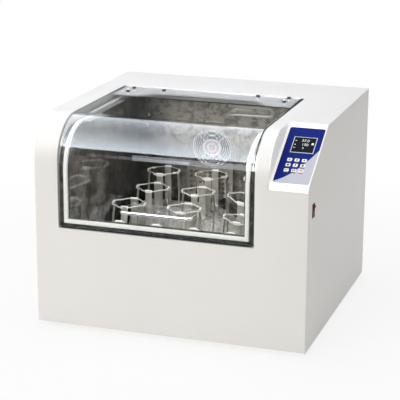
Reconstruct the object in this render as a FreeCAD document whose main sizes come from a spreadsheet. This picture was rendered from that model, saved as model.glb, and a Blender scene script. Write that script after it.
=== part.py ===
import FreeCAD, Part
import math
import os
import Sketcher

# Bench-top shaking incubator with a bent clear lid, a tilted control panel and an orbital
# platform. X runs to the right, Y into the depth, Z up. The origin is the middle of the
# footprint on the bench, and all lengths are in millimetres.

doc = FreeCAD.newDocument("shaking_incubator")
sheet = doc.addObject("Spreadsheet::Sheet", "Sizes")


class Size:
    """A length or angle: its number, and the spreadsheet expression that gives it."""

    def __init__(self, value, text=None):
        self.value = float(value)
        self.text = text if text is not None else repr(float(value))

    def __add__(self, other):
        other = as_size(other)
        return Size(self.value + other.value, f"({self.text} + {other.text})")

    def __sub__(self, other):
        other = as_size(other)
        return Size(self.value - other.value, f"({self.text} - {other.text})")

    def __mul__(self, other):
        other = as_size(other)
        return Size(self.value * other.value, f"({self.text} * {other.text})")

    def __truediv__(self, other):
        other = as_size(other)
        return Size(self.value / other.value, f"({self.text} / {other.text})")

    def __neg__(self):
        return Size(-self.value, f"(0 - {self.text})")

    def __radd__(self, other):
        return as_size(other) + self

    def __rsub__(self, other):
        return as_size(other) - self

    def __rmul__(self, other):
        return as_size(other) * self


def as_size(number):
    return number if isinstance(number, Size) else Size(number)


def root(size):
    return Size(math.sqrt(size.value), f"sqrt({size.text})")


def slope_angle(rise, run):
    ratio = rise / run
    return Size(math.degrees(math.atan(ratio.value)), f"atan({ratio.text})")


row = 0


def size(alias, number, note):
    """One driving dimension: a plain number in the sheet, with its alias and a note."""
    global row
    row += 1
    sheet.set(f"A{row}", alias)
    sheet.set(f"B{row}", str(number))
    sheet.set(f"C{row}", note)
    sheet.setAlias(f"B{row}", alias)
    return Size(number, f"Sizes.{alias}")


# Casing
casing_width = size("casing_width", 720, "outside, left to right")
casing_depth = size("casing_depth", 660, "outside, front to rear")
casing_height = size("casing_height", 540, "without the feet")
casing_sheet = size("casing_sheet", 2, "steel sheet of the casing")
curve_radius = size("curve_radius", 115, "front top curve of the casing and the lid")
base_flange = size("base_flange", 24, "upturned edge of the base pan")
foot_height = size("foot_height", 12, "casing above the bench")
foot_radius = size("foot_radius", 20, "rubber foot at its top")
foot_inset = size("foot_inset", 50, "foot centre from the casing's sides")
vent_width = size("vent_width", 90, "one rear vent slot, left to right")
vent_height = size("vent_height", 6, "one rear vent slot")
vent_pitch = size("vent_pitch", 16, "rear vent slots, up and down")
vent_up = size("vent_up", 60, "lowest vent slot above the casing's underside")
inlet_width = size("inlet_width", 28, "power inlet, left to right")
inlet_height = size("inlet_height", 21, "power inlet, up and down")
inlet_depth = size("inlet_depth", 22, "power inlet, front to back")
inlet_side = size("inlet_side", 70, "power inlet's middle from the casing's right side")
inlet_up = size("inlet_up", 60, "power inlet above the casing's underside")
vent_columns = (-220, -100, 130)
vent_rows = 6

# Lid and its opening
lid_width = size("lid_width", 515, "clear sheet, left to right")
lid_offset = size("lid_offset", 36.5, "middle of the lid, left of the casing's middle")
lid_bottom = size("lid_bottom", 262, "lower edge above the casing's underside")
lid_setback = size("lid_setback", 471, "hinge axis behind the casing's front")
lid_sheet = size("lid_sheet", 5, "clear sheet thickness")
lid_gap = size("lid_gap", 2.5, "gap between the lid and the casing")
hinge_radius = size("hinge_radius", 4, "hinge knuckle")
pin_radius = size("pin_radius", 1.5, "hinge pin")
pin_clearance = size("pin_clearance", 0.05, "hinge pin in its knuckles, radial")
leaf_sheet = size("leaf_sheet", 1.5, "hinge leaf")
plate_end = size("plate_end", 70, "wide part at each end of the lid plate")
plate_front = size("plate_front", 104, "wide part of the lid plate, front to hinge")
plate_middle = size("plate_middle", 62, "narrow part of the lid plate, front to hinge")
plate_margin = size("plate_margin", 8, "lid plate in from the clear sheet's sides")
plate_round = size("plate_round", 20, "rounding of the lid plate's wave")
plate_run = size("plate_run", 39, "slant between the plate's wide and narrow parts")
knuckle_gap = size("knuckle_gap", 0.5, "hinge knuckle from its neighbour, each end")
leaf_run = size("leaf_run", 24, "casing leaf behind the lid opening")
knuckle_count = 5
nut_radius = size("nut_radius", 4.5, "dome nut on the lid")
nut_height = size("nut_height", 8, "dome nut above the sheet")
washer_rim = size("washer_rim", 2, "washer beyond the nut, all round")
washer_sheet = size("washer_sheet", 1, "washer under the nut")
bolt_radius = size("bolt_radius", 2.5, "bolt through the lid")
rest_gap = size("rest_gap", 0.3, "lid above its gasket")
lid_drop = size("lid_drop", 16, "chamber frame lower on the top than behind the front")
head_radius = size("head_radius", 4, "bolt head under the lid plate")
head_height = size("head_height", 2.5, "bolt head below the lid plate")
plate_back = size("plate_back", 3, "lid plate's full part in front of the knuckles")

# Handle
handle_reach = size("handle_reach", 40, "bar's front face from the lid")
handle_length = size("handle_length", 195, "overall, left to right")
handle_bar = size("handle_bar", 4, "bar radius")
handle_corner = size("handle_corner", 14, "bend radius at the bar's middle line")
handle_rise = size("handle_rise", 66, "bar above the lid's lower edge")
handle_offset = size("handle_offset", 16, "bar's middle, right of the lid's middle")

# Dome nuts: in from the lid's left or right edge, and in front of the hinge
nut_list = [(-1, 37, 75), (-1, 38, 29), (-1, 127, 33), (1, 122, 20), (1, 36, 66), (1, 37, 14)]
nut_sizes = []
for number, (side, across, back) in enumerate(nut_list, 1):
    nut_sizes.append((
        side, size(f"nut_{number}_in", across, f"nut {number} in from the lid's edge"),
        size(f"nut_{number}_front", back, f"nut {number} in front of the hinge")))

# Gasket and chamber
gasket_margin = size("gasket_margin", 11, "gasket in from the lid's edge")
gasket_width = size("gasket_width", 11, "gasket across its face")
gasket_lip = size("gasket_lip", 4, "chamber flange showing inside the gasket")
gasket_rear = size("gasket_rear", 2, "gasket in from the lid's rear edge")
gasket_depth = size("gasket_depth", 9, "gasket, front to back")
liner_sheet = size("liner_sheet", 2, "stainless chamber sheet")
liner_lip = size("liner_lip", 2, "window edge in from the chamber wall")
flange_lap = size("flange_lap", 6, "chamber flange behind the casing's edge")
chamber_rear = size("chamber_rear", 510, "chamber's back wall behind the casing's front")
chamber_floor = size("chamber_floor", 185, "chamber's underside above the casing's underside")
insulation_wall = size("insulation_wall", 22, "mineral wool round the chamber")

# Control panel
console_width = size("console_width", 98, "tilted panel, left to right, without the side sheet")
console_drop = size("console_drop", 129, "panel's lower edge below the casing's top")
console_back = size("console_back", 189, "panel's upper edge behind the casing's front")
ledge_run = size("ledge_run", 9, "steep ledge under the panel, front to back")
ledge_rise = size("ledge_rise", 18, "steep ledge under the panel, upwards")
console_sheet = size("console_sheet", 2.5, "moulded panel wall")
key_width = size("key_width", 12, "key, left to right")
key_height = size("key_height", 9.5, "key, along the slope")
key_pitch_across = size("key_pitch_across", 18.5, "keys, left to right")
key_pitch_along = size("key_pitch_along", 18, "keys, along the slope")
key_first = size("key_first", 44.5, "lowest row's middle, up the slope")
key_left = size("key_left", 30, "left column's middle from the panel's left")
key_proud = size("key_proud", 0.9, "key above the panel")
key_length = size("key_length", 6.5, "key below the panel")
key_travel = size("key_travel", 0.8, "key stroke")
key_gap = size("key_gap", 0.3, "key in its hole, all round")
display_width = size("display_width", 58, "display frame, left to right")
display_height = size("display_height", 55, "display frame, along the slope")
display_low = size("display_low", 107, "display frame's lower edge, up the slope")
display_left = size("display_left", 19, "display frame from the panel's left")
display_proud = size("display_proud", 0.6, "display frame above the panel")
display_depth = size("display_depth", 8, "display module under the panel")
board_depth = size("board_depth", 15, "circuit board under the panel's face")
board_sheet = size("board_sheet", 1.6, "circuit board")

# Rocker switch on the right side
rocker_reach = size("rocker_reach", 5.5, "rocker's tip beyond the casing's side")
rocker_radius = size("rocker_radius", 13, "rocker's ends about its pivot")
rocker_width = size("rocker_width", 12, "rocker, front to rear")
rocker_tilt = size("rocker_tilt", 18, "full rocker travel in degrees")
rocker_gap = size("rocker_gap", 0.3, "rocker in its housing")
rocker_inset = size("rocker_inset", 1, "rocker's pivot inside the casing's side")
rocker_back = size("rocker_back", 49, "pivot behind the casing's front")
rocker_drop = size("rocker_drop", 55, "pivot below the panel's lower edge")
bezel_proud = size("bezel_proud", 1.5, "switch frame beyond the casing's side")
bezel_rim = size("bezel_rim", 4, "switch frame round the rocker")

# Orbital drive
orbit = size("orbit", 13, "orbit radius, 26 mm across")
orbit_gap = size("orbit_gap", 11, "platform from the chamber wall at the end of its orbit")
bed_height = size("bed_height", 60, "drive bed's underside above the casing's underside")
bed_sheet = size("bed_sheet", 6, "drive bed plate")
bed_leg = size("bed_leg", 4, "drive bed's turned-down edges")
bed_left = size("bed_left", 200, "drive bed's left edge from the main spindle")
bed_front = size("bed_front", 130, "drive bed's front edge from the main spindle")
bed_rear = size("bed_rear", 190, "drive bed's rear edge from the main spindle")
bed_margin = size("bed_margin", 6, "drive bed beyond the motor")
housing_height = size("housing_height", 84, "bearing housings above the bed")
shaft_radius = size("shaft_radius", 10, "main spindle")
idler_shaft = size("idler_shaft", 7, "idler spindle")
crank_pin = size("crank_pin", 9, "main crank pin radius")
idler_pin = size("idler_pin", 6, "idler crank pin radius")
bearing_clearance = size("bearing_clearance", 0.05, "spindles and pins in their bearings, radial")
idler_circle = size("idler_circle", 150, "idler spindles from the main spindle")
disc_height = size("disc_height", 10, "crank discs")
disc_gap = size("disc_gap", 3, "crank discs above the chamber floor")
main_disc = size("main_disc", 34, "main crank disc radius")
idler_disc = size("idler_disc", 27, "idler crank disc radius")
weight_radius = size("weight_radius", 68, "counterweight on the main crank")
weight_sweep = size("weight_sweep", 130, "counterweight's sweep in degrees")
belt_drop = size("belt_drop", 8, "belt below the drive bed")
pulley_radius = size("pulley_radius", 62, "driven pulley under its belt")
motor_pulley_radius = size("motor_pulley_radius", 24, "motor pulley under its belt")
belt_width = size("belt_width", 11, "toothed belt")
belt_sheet = size("belt_sheet", 3, "toothed belt thickness")
belt_gap = size("belt_gap", 0.3, "belt off its pulleys")
pulley_flange = size("pulley_flange", 2, "pulley flanges")
motor_side = size("motor_side", 23.5, "motor body from the right side panel")
motor_radius = size("motor_radius", 45, "motor body")
motor_height = size("motor_height", 120, "motor body above the bed")
motor_shaft = size("motor_shaft", 6, "motor shaft radius")
shaft_rise = size("shaft_rise", 40, "motor shaft above the bed")
housing_foot = size("housing_foot", 12, "bearing housing's square foot beyond its barrel")
foot_sheet = size("foot_sheet", 8, "bearing housing's square foot")

# Platform and its spring clamps
carrier_sheet = size("carrier_sheet", 8, "cast spider under the tray")
carrier_gap = size("carrier_gap", 3, "spider above the crank discs")
spider_hub = size("spider_hub", 52, "spider's middle, radius")
spider_boss = size("spider_boss", 28, "spider's outer bosses, radius")
spider_arm = size("spider_arm", 44, "spider arm width")
tray_sheet = size("tray_sheet", 4, "tray plate")
tray_lip = size("tray_lip", 12, "tray's turned-down edge")
clamp_sheet = size("clamp_sheet", 1.5, "spring clamp strip")
finger_width = size("finger_width", 18, "spring clamp finger")
tab_height = size("tab_height", 8, "rolled plate at the top of a finger")
tab_depth = size("tab_depth", 4, "rolled plate, inside to outside")
wire_radius = size("wire_radius", 1.4, "spring ring wire")
small_ring = size("small_ring", 31, "small clamp's ring radius")
small_rise = size("small_rise", 50, "small clamp's height")
large_ring = size("large_ring", 46, "large clamp's ring radius")
large_rise = size("large_rise", 72, "large clamp's height in the front large row")
row_rise = size("row_rise", 16, "each large row higher than the one in front of it")
large_first = size("large_first", 92, "first large row behind the small one")
clamp_row = size("clamp_row", 66, "front clamp row behind the tray's front edge")
small_pitch = size("small_pitch", 103, "small clamps, left to right")
large_pitch = size("large_pitch", 155, "front large row, left to right")
middle_pitch = size("middle_pitch", 130, "middle large row, left to right")
rear_pitch = size("rear_pitch", 140, "rear large row, left to right")
row_pitch = size("row_pitch", 115, "large clamp rows, front to rear")

# Fan, heater and back wall
fan_offset = size("fan_offset", 12, "fan axis, left of the chamber's middle")
fan_up = size("fan_up", 375, "fan axis above the casing's underside")
fan_radius = size("fan_radius", 52, "fan opening in the back wall")
fan_guard_radius = size("fan_guard_radius", 57, "outer ring of the guard")
fan_hub = size("fan_hub", 27, "guard's middle cap")
blade_gap = size("blade_gap", 4, "blade tips from the opening")
blade_width = size("blade_width", 22, "fan blade across its pitch")
blade_count = 5
fan_wire = size("fan_wire", 1.2, "guard wire radius")
fan_motor_radius = size("fan_motor_radius", 34, "fan motor")
fan_motor_depth = size("fan_motor_depth", 48, "fan motor behind its plate")
fan_shaft = size("fan_shaft", 4, "fan shaft radius")
heater_bar = size("heater_bar", 5, "heater tube radius")
heater_bend = size("heater_bend", 14, "heater tube bend radius")
heater_run = size("heater_run", 108, "straight run of the heater tube")
heater_drop = size("heater_drop", 12, "upper run below the chamber's ceiling")
heater_stand = size("heater_stand", 26, "heater tube in front of the back wall")
hole_pitch = size("hole_pitch", 13.5, "perforation pitch")
hole_radius = size("hole_radius", 4.5, "perforation")
outlet_left = size("outlet_left", 82, "perforated outlet's left edge, left of the middle")
outlet_gap = size("outlet_gap", 1, "perforated outlet below the fan guard")
outlet_depth = size("outlet_depth", 14, "perforated outlet, front to back")
heater_right = size("heater_right", 48, "heater tube's left end, right of the middle")
sensor_left = size("sensor_left", 30, "probe from the chamber's left wall")
sensor_drop = size("sensor_drop", 70, "probe below the chamber's ceiling")
sensor_length = size("sensor_length", 60, "probe in front of the back wall")
heater_flange = size("heater_flange", 5, "flange round each heater end")
flange_sheet = size("flange_sheet", 3, "heater and motor flanges")
hole_sides = 8
ring_sides = 24
hole_columns = 9
hole_rows = 5

# Places worked out from the sizes above
mid = -rocker_reach / 2
left = mid - casing_width / 2
right = mid + casing_width / 2
front = handle_reach / 2 - casing_depth / 2
rear = front + casing_depth
low = foot_height
top = low + casing_height
curve_y = front + curve_radius
curve_z = top - curve_radius
lid_mid = mid - lid_offset
lid_left = lid_mid - lid_width / 2
lid_right = lid_mid + lid_width / 2
lid_low = low + lid_bottom
hinge_y = front + lid_setback
hinge_z = top - lid_sheet - leaf_sheet / 2
lid_rear = hinge_y - hinge_radius - 0.5
opening_rear = hinge_y + hinge_radius + 1.5
gasket_front = lid_sheet + rest_gap
gasket_back = gasket_front + gasket_depth
liner_back = gasket_back + liner_sheet
gasket_left = lid_left + gasket_margin + gasket_width
window_left = gasket_left + gasket_lip
window_right = lid_right - gasket_margin - gasket_width - gasket_lip
window_low = lid_low + gasket_margin + gasket_width + gasket_lip
window_rear = lid_rear - gasket_rear - gasket_width - gasket_lip
cavity_left = window_left - liner_lip
cavity_right = window_right + liner_lip
cavity_rear = front + chamber_rear
cavity_low = low + chamber_floor + liner_sheet
centre_x = (cavity_left + cavity_right) / 2
centre_y = (front + liner_back + cavity_rear) / 2
ceiling = top - liner_back - lid_drop
beyond = 5


def bind(item, prop, value):
    item.setExpression(prop, as_size(value).text)


def place(item, x, y, z):
    bind(item, "Placement.Base.x", x)
    bind(item, "Placement.Base.y", y)
    bind(item, "Placement.Base.z", z)
    return item


def box(name, x, y, z):
    """A block between the pairs of planes x, y and z."""
    item = doc.addObject("Part::Box", name)
    for prop, (start, end) in (("Length", x), ("Width", y), ("Height", z)):
        bind(item, prop, as_size(end) - start)
    return place(item, x[0], y[0], z[0])


TURNS = {
    "x": FreeCAD.Rotation(FreeCAD.Vector(0, 1, 0), 90),
    "y": FreeCAD.Rotation(FreeCAD.Vector(1, 0, 0), -90),
    "z": FreeCAD.Rotation(),
}


def cylinder(name, axis, x, y, z, radius, length):
    """A cylinder from the point x, y, z along the named axis."""
    item = doc.addObject("Part::Cylinder", name)
    item.Placement.Rotation = TURNS[axis]
    bind(item, "Radius", radius)
    bind(item, "Height", length)
    return place(item, x, y, z)


def polygon_bar(name, axis, sides, x, y, z, radius, length):
    """A bar with a regular polygon for its section, from x, y, z along the named axis."""
    item = doc.addObject("Part::Prism", name)
    item.Polygon = sides
    item.Placement.Rotation = TURNS[axis]
    bind(item, "Circumradius", radius)
    bind(item, "Height", length)
    return place(item, x, y, z)


def torus(name, x, y, z, radius, bar, turn, sweep):
    """Part of a ring about the point x, y, z, with its own turn and sweep in degrees."""
    item = doc.addObject("Part::Torus", name)
    item.Placement.Rotation = turn
    item.Angle3 = sweep
    bind(item, "Radius1", radius)
    bind(item, "Radius2", bar)
    return place(item, x, y, z)


def fuse(name, items):
    item = doc.addObject("Part::MultiFuse", name)
    item.Shapes = items
    item.Refine = True
    return item


def cut(name, base, tools):
    item = doc.addObject("Part::Cut", name)
    item.Base = base
    item.Tool = tools[0] if len(tools) == 1 else fuse(name + "_tools", tools)
    return item


def group(name, items):
    item = doc.addObject("Part::Compound", name)
    item.Links = items
    return item


nodes = {}


def node(name, item):
    """Names a finished sub-part. The name is its label and its file."""
    item.Label = name
    nodes[name] = item
    return item


def body(name):
    return doc.addObject("PartDesign::Body", name)


def outline(owner, name, plane, offset, corners, arcs):
    """A closed sketch through the corners. arcs gives the edges that are arcs: the edge's
    number, its centre and whether it runs clockwise."""
    sketch = owner.newObject("Sketcher::SketchObject", name)
    support = [f for f in owner.Origin.OriginFeatures if f.Role == plane][0]
    sketch.AttachmentSupport = [(support, "")]
    sketch.MapMode = "FlatFace"
    bind(sketch, "AttachmentOffset.Base.z", offset)
    points = [FreeCAD.Vector(as_size(a).value, as_size(b).value, 0) for a, b in corners]
    starts, ends = [], []
    for i, start in enumerate(points):
        end = points[(i + 1) % len(points)]
        if i not in arcs:
            sketch.addGeometry(Part.LineSegment(start, end))
            starts.append(1)
            ends.append(2)
            continue
        (cx, cy), clockwise = arcs[i]
        centre = FreeCAD.Vector(as_size(cx).value, as_size(cy).value, 0)
        circle = Part.Circle(centre, FreeCAD.Vector(0, 0, 1), (start - centre).Length)
        first, last = (end, start) if clockwise else (start, end)
        angles = [math.atan2(p.y - centre.y, p.x - centre.x) for p in (first, last)]
        sketch.addGeometry(Part.ArcOfCircle(circle, angles[0], angles[1]))
        starts.append(2 if clockwise else 1)
        ends.append(1 if clockwise else 2)
    for i in range(len(points)):
        after = (i + 1) % len(points)
        sketch.addConstraint(Sketcher.Constraint("Coincident", i, ends[i], after, starts[after]))
        for kind, value in zip(("DistanceX", "DistanceY"), corners[i]):
            fix(sketch, kind, i, starts[i], value)
    for i, ((cx, cy), clockwise) in arcs.items():
        chord = points[(i + 1) % len(points)] - points[i]
        if abs(chord.x) > abs(chord.y):
            fix(sketch, "DistanceY", i, 3, cy)
        else:
            fix(sketch, "DistanceX", i, 3, cx)
    return sketch


def fix(sketch, kind, edge, vertex, value):
    """Holds one coordinate of a sketch point at a value from the sheet."""
    value = as_size(value)
    number = sketch.addConstraint(
        Sketcher.Constraint(kind, -1, 1, edge, vertex, value.value))
    sketch.setExpression(f"Constraints[{number}]", value.text)


def prism(name, plane, offset, depth, corners, arcs=None):
    """A body made by padding one closed outline."""
    owner = body(name)
    sketch = outline(owner, name + "_outline", plane, offset, corners, arcs or {})
    pad = owner.newObject("PartDesign::Pad", name + "_pad")
    pad.Profile = sketch
    bind(pad, "Length", depth)
    return owner


def side_band(name, outer, inner, bottom, back, x, drops=(0, 0)):
    """A bent sheet that follows the front, the curve and the top, between two insets. The
    drops lower the curve and the top of its outer and inner faces."""
    outer_z, inner_z = curve_z - drops[0], curve_z - drops[1]
    outer_top, inner_top = top - outer - drops[0], top - inner - drops[1]
    corners = [
        (front + outer, bottom), (front + outer, outer_z), (curve_y, outer_top),
        (back, outer_top), (back, inner_top), (curve_y, inner_top),
        (front + inner, inner_z), (front + inner, bottom),
    ]
    arcs = {1: ((curve_y, outer_z), True), 5: ((curve_y, inner_z), False)}
    return prism(name, "YZ_Plane", x[0], as_size(x[1]) - x[0], corners, arcs)


def side_block(name, inset, bottom, back, x, drop=0):
    """A solid block with the casing's side profile, inset all round."""
    corners = [
        (front + inset, bottom), (front + inset, curve_z - drop),
        (curve_y, top - inset - drop), (back, top - inset - drop), (back, bottom),
    ]
    arcs = {1: ((curve_y, curve_z - drop), True)}
    return prism(name, "YZ_Plane", x[0], as_size(x[1]) - x[0], corners, arcs)


# The tilted panel: its corner points and its own axes up the slope and out of the face
console_right = right - casing_sheet
console_left = console_right - console_width
ledge_z = top - console_drop
slope_y = front + ledge_run
slope_z = ledge_z + ledge_rise
slope_top_y = front + console_back
slope_run = slope_top_y - slope_y
slope_rise = top - slope_z
slope_length = root(slope_run * slope_run + slope_rise * slope_rise)
along_y = slope_run / slope_length
along_z = slope_rise / slope_length
panel_angle = slope_angle(slope_rise, slope_run)


def tilted_box(name, x, along, out):
    """A block on the tilted panel: along is up the slope, out is away from its face."""
    item = doc.addObject("Part::Box", name)
    for prop, (start, end) in (("Length", x), ("Width", along), ("Height", out)):
        bind(item, prop, as_size(end) - start)
    item.Placement.Rotation = FreeCAD.Rotation(FreeCAD.Vector(1, 0, 0), panel_angle.value)
    bind(item, "Placement.Rotation.Angle", panel_angle)
    y = slope_y + along_y * along[0] - along_z * out[0]
    z = slope_z + along_z * along[0] + along_y * out[0]
    return place(item, x[0], y, z)


# Casing
cover = side_band("cover_sheet", 0, casing_sheet, low, rear,
                  (left + casing_sheet, right - casing_sheet))
lid_hole = box("lid_hole", (lid_left - lid_gap, lid_right + lid_gap),
               (front - beyond, opening_rear), (lid_low - lid_gap, top + beyond))
console_hole = box("console_hole", (console_left - console_sheet, right),
                   (front - beyond, slope_top_y), (ledge_z, top + beyond))
cover_cut = cut("cover_cut", cover, [lid_hole, console_hole])
return_x = (lid_left - lid_gap - casing_sheet, lid_right + lid_gap)
return_low = lid_low - lid_gap - casing_sheet
returns = [box("return_low", (return_x[0], return_x[1] + casing_sheet),
               (front, front + gasket_back), (return_low, return_low + casing_sheet))]
for side, start in enumerate(return_x):
    returns.append(side_band(f"return_{side}", 0, gasket_back, return_low, opening_rear,
                             (start, start + casing_sheet), (0, lid_drop)))
node("front_top_cover", fuse("cover", [cover_cut] + returns))
node("side_panel_left", side_block("left_side", 0, low, rear, (left, left + casing_sheet)))

panel_slope = [(front, ledge_z), (slope_y, slope_z), (slope_top_y, top)]
right_side = prism("right_side", "YZ_Plane", right - casing_sheet, casing_sheet,
                   [(front, low)] + panel_slope + [(rear, top), (rear, low)])
rocker_y = front + rocker_back
rocker_z = ledge_z - rocker_drop
switch_half = rocker_radius + rocker_gap + 1.5
switch_side = rocker_width / 2 + rocker_gap + 1.5
switch_hole = box("switch_hole", (right - beyond, right + beyond),
                  (rocker_y - switch_side, rocker_y + switch_side),
                  (rocker_z - switch_half, rocker_z + switch_half))
node("side_panel_right", cut("right_side_cut", right_side, [switch_hole]))

inside_left = left + casing_sheet
inside_right = right - casing_sheet
rear_sheet = box("rear_sheet", (inside_left, inside_right), (rear - casing_sheet, rear),
                 (low, top - casing_sheet))
vents = []
for bank, vent_x in enumerate(vent_columns):
    for slot in range(vent_rows):
        vents.append(box(f"vent_{bank}_{slot}", (mid + vent_x, mid + vent_x + vent_width),
                         (rear - beyond, rear + beyond),
                         (low + vent_up + vent_pitch * slot,
                          low + vent_up + vent_pitch * slot + vent_height)))
inlet_mid = right - inlet_side
inlet_x = (inlet_mid - inlet_width / 2, inlet_mid + inlet_width / 2)
inlet_z = (low + inlet_up, low + inlet_up + inlet_height)
inlet_hole = box("inlet_hole", inlet_x, (rear - beyond, rear + beyond), inlet_z)
node("rear_panel", cut("rear_cut", rear_sheet, vents + [inlet_hole]))

pan_x = (inside_left, inside_right)
pan_y = (front + casing_sheet, rear - casing_sheet)
pan_block = box("pan_block", pan_x, pan_y, (low, low + base_flange))
pan_hollow = box("pan_hollow", (pan_x[0] + casing_sheet, pan_x[1] - casing_sheet),
                 (pan_y[0] + casing_sheet, pan_y[1] - casing_sheet),
                 (low + casing_sheet, low + base_flange + beyond))
node("base_pan", cut("pan_cut", pan_block, [pan_hollow]))

feet = []
for side, foot_x in enumerate((left + foot_inset, right - foot_inset)):
    for end, foot_y in enumerate((front + foot_inset, rear - foot_inset)):
        foot = doc.addObject("Part::Cone", f"foot_{side}_{end}")
        bind(foot, "Radius1", foot_radius - 3)
        bind(foot, "Radius2", foot_radius)
        bind(foot, "Height", foot_height)
        feet.append(place(foot, foot_x, foot_y, 0))
node("rubber_feet", group("feet", feet))

# Power inlet: a recessed shroud with three pins
shroud = box("shroud", inlet_x, (rear - inlet_depth, rear), inlet_z)
shroud_hollow = box("shroud_hollow", (inlet_x[0] + 2, inlet_x[1] - 2),
                    (rear - inlet_depth + 5, rear + beyond), (inlet_z[0] + 2, inlet_z[1] - 2))
shroud_cut = cut("shroud_cut", shroud, [shroud_hollow])
inlet_pins = []
for number, pin_x in enumerate((-7, 0, 7)):
    pin_mid = inlet_mid + pin_x
    pin_low = inlet_z[0] + inlet_height / 2 - 2
    inlet_pins.append(box(f"inlet_pin_{number}", (pin_mid - 1, pin_mid + 1),
                          (rear - inlet_depth + 4, rear - 3), (pin_low, pin_low + 4)))
node("power_inlet", fuse("inlet", [shroud_cut] + inlet_pins))

# Tilted control panel with its side wall, the keys and the display
wall_drop = console_sheet / along_y
inner_y = slope_y + console_sheet
inner_z = slope_z + (slope_rise / slope_run) * console_sheet - wall_drop
under_slope = [(slope_top_y, top - wall_drop), (inner_y, inner_z),
               (front + console_sheet, ledge_z)]
panel_sheet = prism("panel_sheet", "YZ_Plane", console_left, console_width,
                    panel_slope + under_slope)
panel_wall = prism("panel_wall", "YZ_Plane", console_left - console_sheet, console_sheet,
                   [(curve_y, top)] + [(slope_top_y, top)] + under_slope
                   + [(front, ledge_z), (front, curve_z)],
                   {6: ((curve_y, curve_z), True)})
key_holes, keys, key_switches = [], [], []
for line in range(3):
    for column in range(3):
        key_x = console_left + key_left + key_pitch_across * column
        key_s = key_first + key_pitch_along * (2 - line)
        half_x, half_s = key_width / 2, key_height / 2
        number = 3 * line + column + 1
        key_holes.append(tilted_box(
            f"key_hole_{number}", (key_x - half_x - key_gap, key_x + half_x + key_gap),
            (key_s - half_s - key_gap, key_s + half_s + key_gap), (-beyond, beyond)))
        keys.append(tilted_box(
            f"key_block_{number}", (key_x - half_x, key_x + half_x),
            (key_s - half_s, key_s + half_s), (-key_length, key_proud)))
        key_switches.append(tilted_box(
            f"key_switch_{number}", (key_x - 3, key_x + 3), (key_s - 3, key_s + 3),
            (-board_depth, -key_length - key_travel - 0.1)))
display_x = (console_left + display_left, console_left + display_left + display_width)
display_s = (display_low, display_low + display_height)
display_hole = tilted_box("display_hole", display_x, display_s, (-beyond, beyond))
console = fuse("console_shell", [panel_sheet, panel_wall])
node("control_console", cut("console_cut", console, key_holes + [display_hole]))
for number, key in enumerate(keys, 1):
    node(f"key_{number}", key)

fit = key_gap
display_face = tilted_box("display_face", (display_x[0] + fit, display_x[1] - fit),
                          (display_s[0] + fit, display_s[1] - fit),
                          (-console_sheet, display_proud))
display_block = tilted_box("display_block", (display_x[0] - 3, display_x[1] + 3),
                           (display_s[0] - 3, display_s[1] + 3),
                           (-display_depth, -console_sheet))
display_glass = tilted_box("display_glass", (display_x[0] + 5, display_x[1] - 5),
                           (display_s[0] + 5, display_s[1] - 5),
                           (display_proud - 0.8, display_proud + 1))
node("display_module", cut("display_cut", fuse("display_solid", [display_face, display_block]),
                           [display_glass]))

board_x = (console_left + 6, console_right - 6)
board_s = (20, display_low + display_height + 12)
board_plate = tilted_box("board_plate", board_x, board_s,
                         (-board_depth - board_sheet, -board_depth))
board_posts = []
for number, (post_x, post_s) in enumerate(
        [(x, s) for x in (board_x[0], board_x[1] - 6) for s in (board_s[0], board_s[1] - 6)]):
    board_posts.append(tilted_box(f"board_post_{number}", (post_x, post_x + 6),
                                  (post_s, post_s + 6), (-board_depth, -console_sheet)))
display_post = tilted_box("display_post", (display_x[0] + 10, display_x[1] - 10),
                          (display_s[0] + 20, display_s[1] - 20),
                          (-board_depth, -display_depth))
node("control_board", fuse("board", [board_plate, display_post] + board_posts + key_switches))

# Rocker switch: the frame and housing, and the rocker on its two stub pins
pivot_x = right - rocker_inset
cavity_half = rocker_radius + rocker_gap
cavity_side = rocker_width / 2 + rocker_gap
frame_out = box("switch_frame", (right, right + bezel_proud),
                (rocker_y - cavity_side - bezel_rim, rocker_y + cavity_side + bezel_rim),
                (rocker_z - cavity_half - bezel_rim, rocker_z + cavity_half + bezel_rim))
frame_in = box("switch_box", (pivot_x - 14, right),
               (rocker_y - switch_side + 0.2, rocker_y + switch_side - 0.2),
               (rocker_z - switch_half + 0.2, rocker_z + switch_half - 0.2))
switch_cavity = box("switch_cavity", (pivot_x - 11, right + beyond),
                    (rocker_y - cavity_side, rocker_y + cavity_side),
                    (rocker_z - cavity_half, rocker_z + cavity_half))
pin_hole = cylinder("rocker_pin_hole", "y", pivot_x, rocker_y - cavity_side - 1, rocker_z,
                    pin_radius + pin_clearance, cavity_side * 2 + 2)
node("switch_bezel", cut("bezel_cut", fuse("bezel_solid", [frame_out, frame_in]),
                         [switch_cavity, pin_hole]))

rocker_lift = rocker_reach + rocker_inset
face_flat = bezel_proud + rocker_inset
rocker_peak = root(rocker_radius * rocker_radius - rocker_lift * rocker_lift)
rocker_block = prism("rocker_block", "XZ_Plane", -(rocker_y + rocker_width / 2), rocker_width, [
    (pivot_x - 4, rocker_z - rocker_radius), (pivot_x + face_flat, rocker_z - rocker_radius),
    (pivot_x + face_flat, rocker_z), (pivot_x + rocker_lift, rocker_z + rocker_peak),
    (pivot_x + rocker_lift, rocker_z + rocker_radius),
    (pivot_x - 4, rocker_z + rocker_radius)])
rocker_round = cylinder("rocker_round", "y", pivot_x, rocker_y - rocker_width / 2, rocker_z,
                        rocker_radius, rocker_width)
rocker_shape = doc.addObject("Part::Common", "rocker_shape")
rocker_shape.Base = rocker_block
rocker_shape.Tool = rocker_round
rocker_pins = cylinder("rocker_pins", "y", pivot_x, rocker_y - cavity_side - 0.8, rocker_z,
                       pin_radius, cavity_side * 2 + 1.6)
node("rocker", fuse("rocker_whole", [rocker_shape, rocker_pins]))

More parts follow.
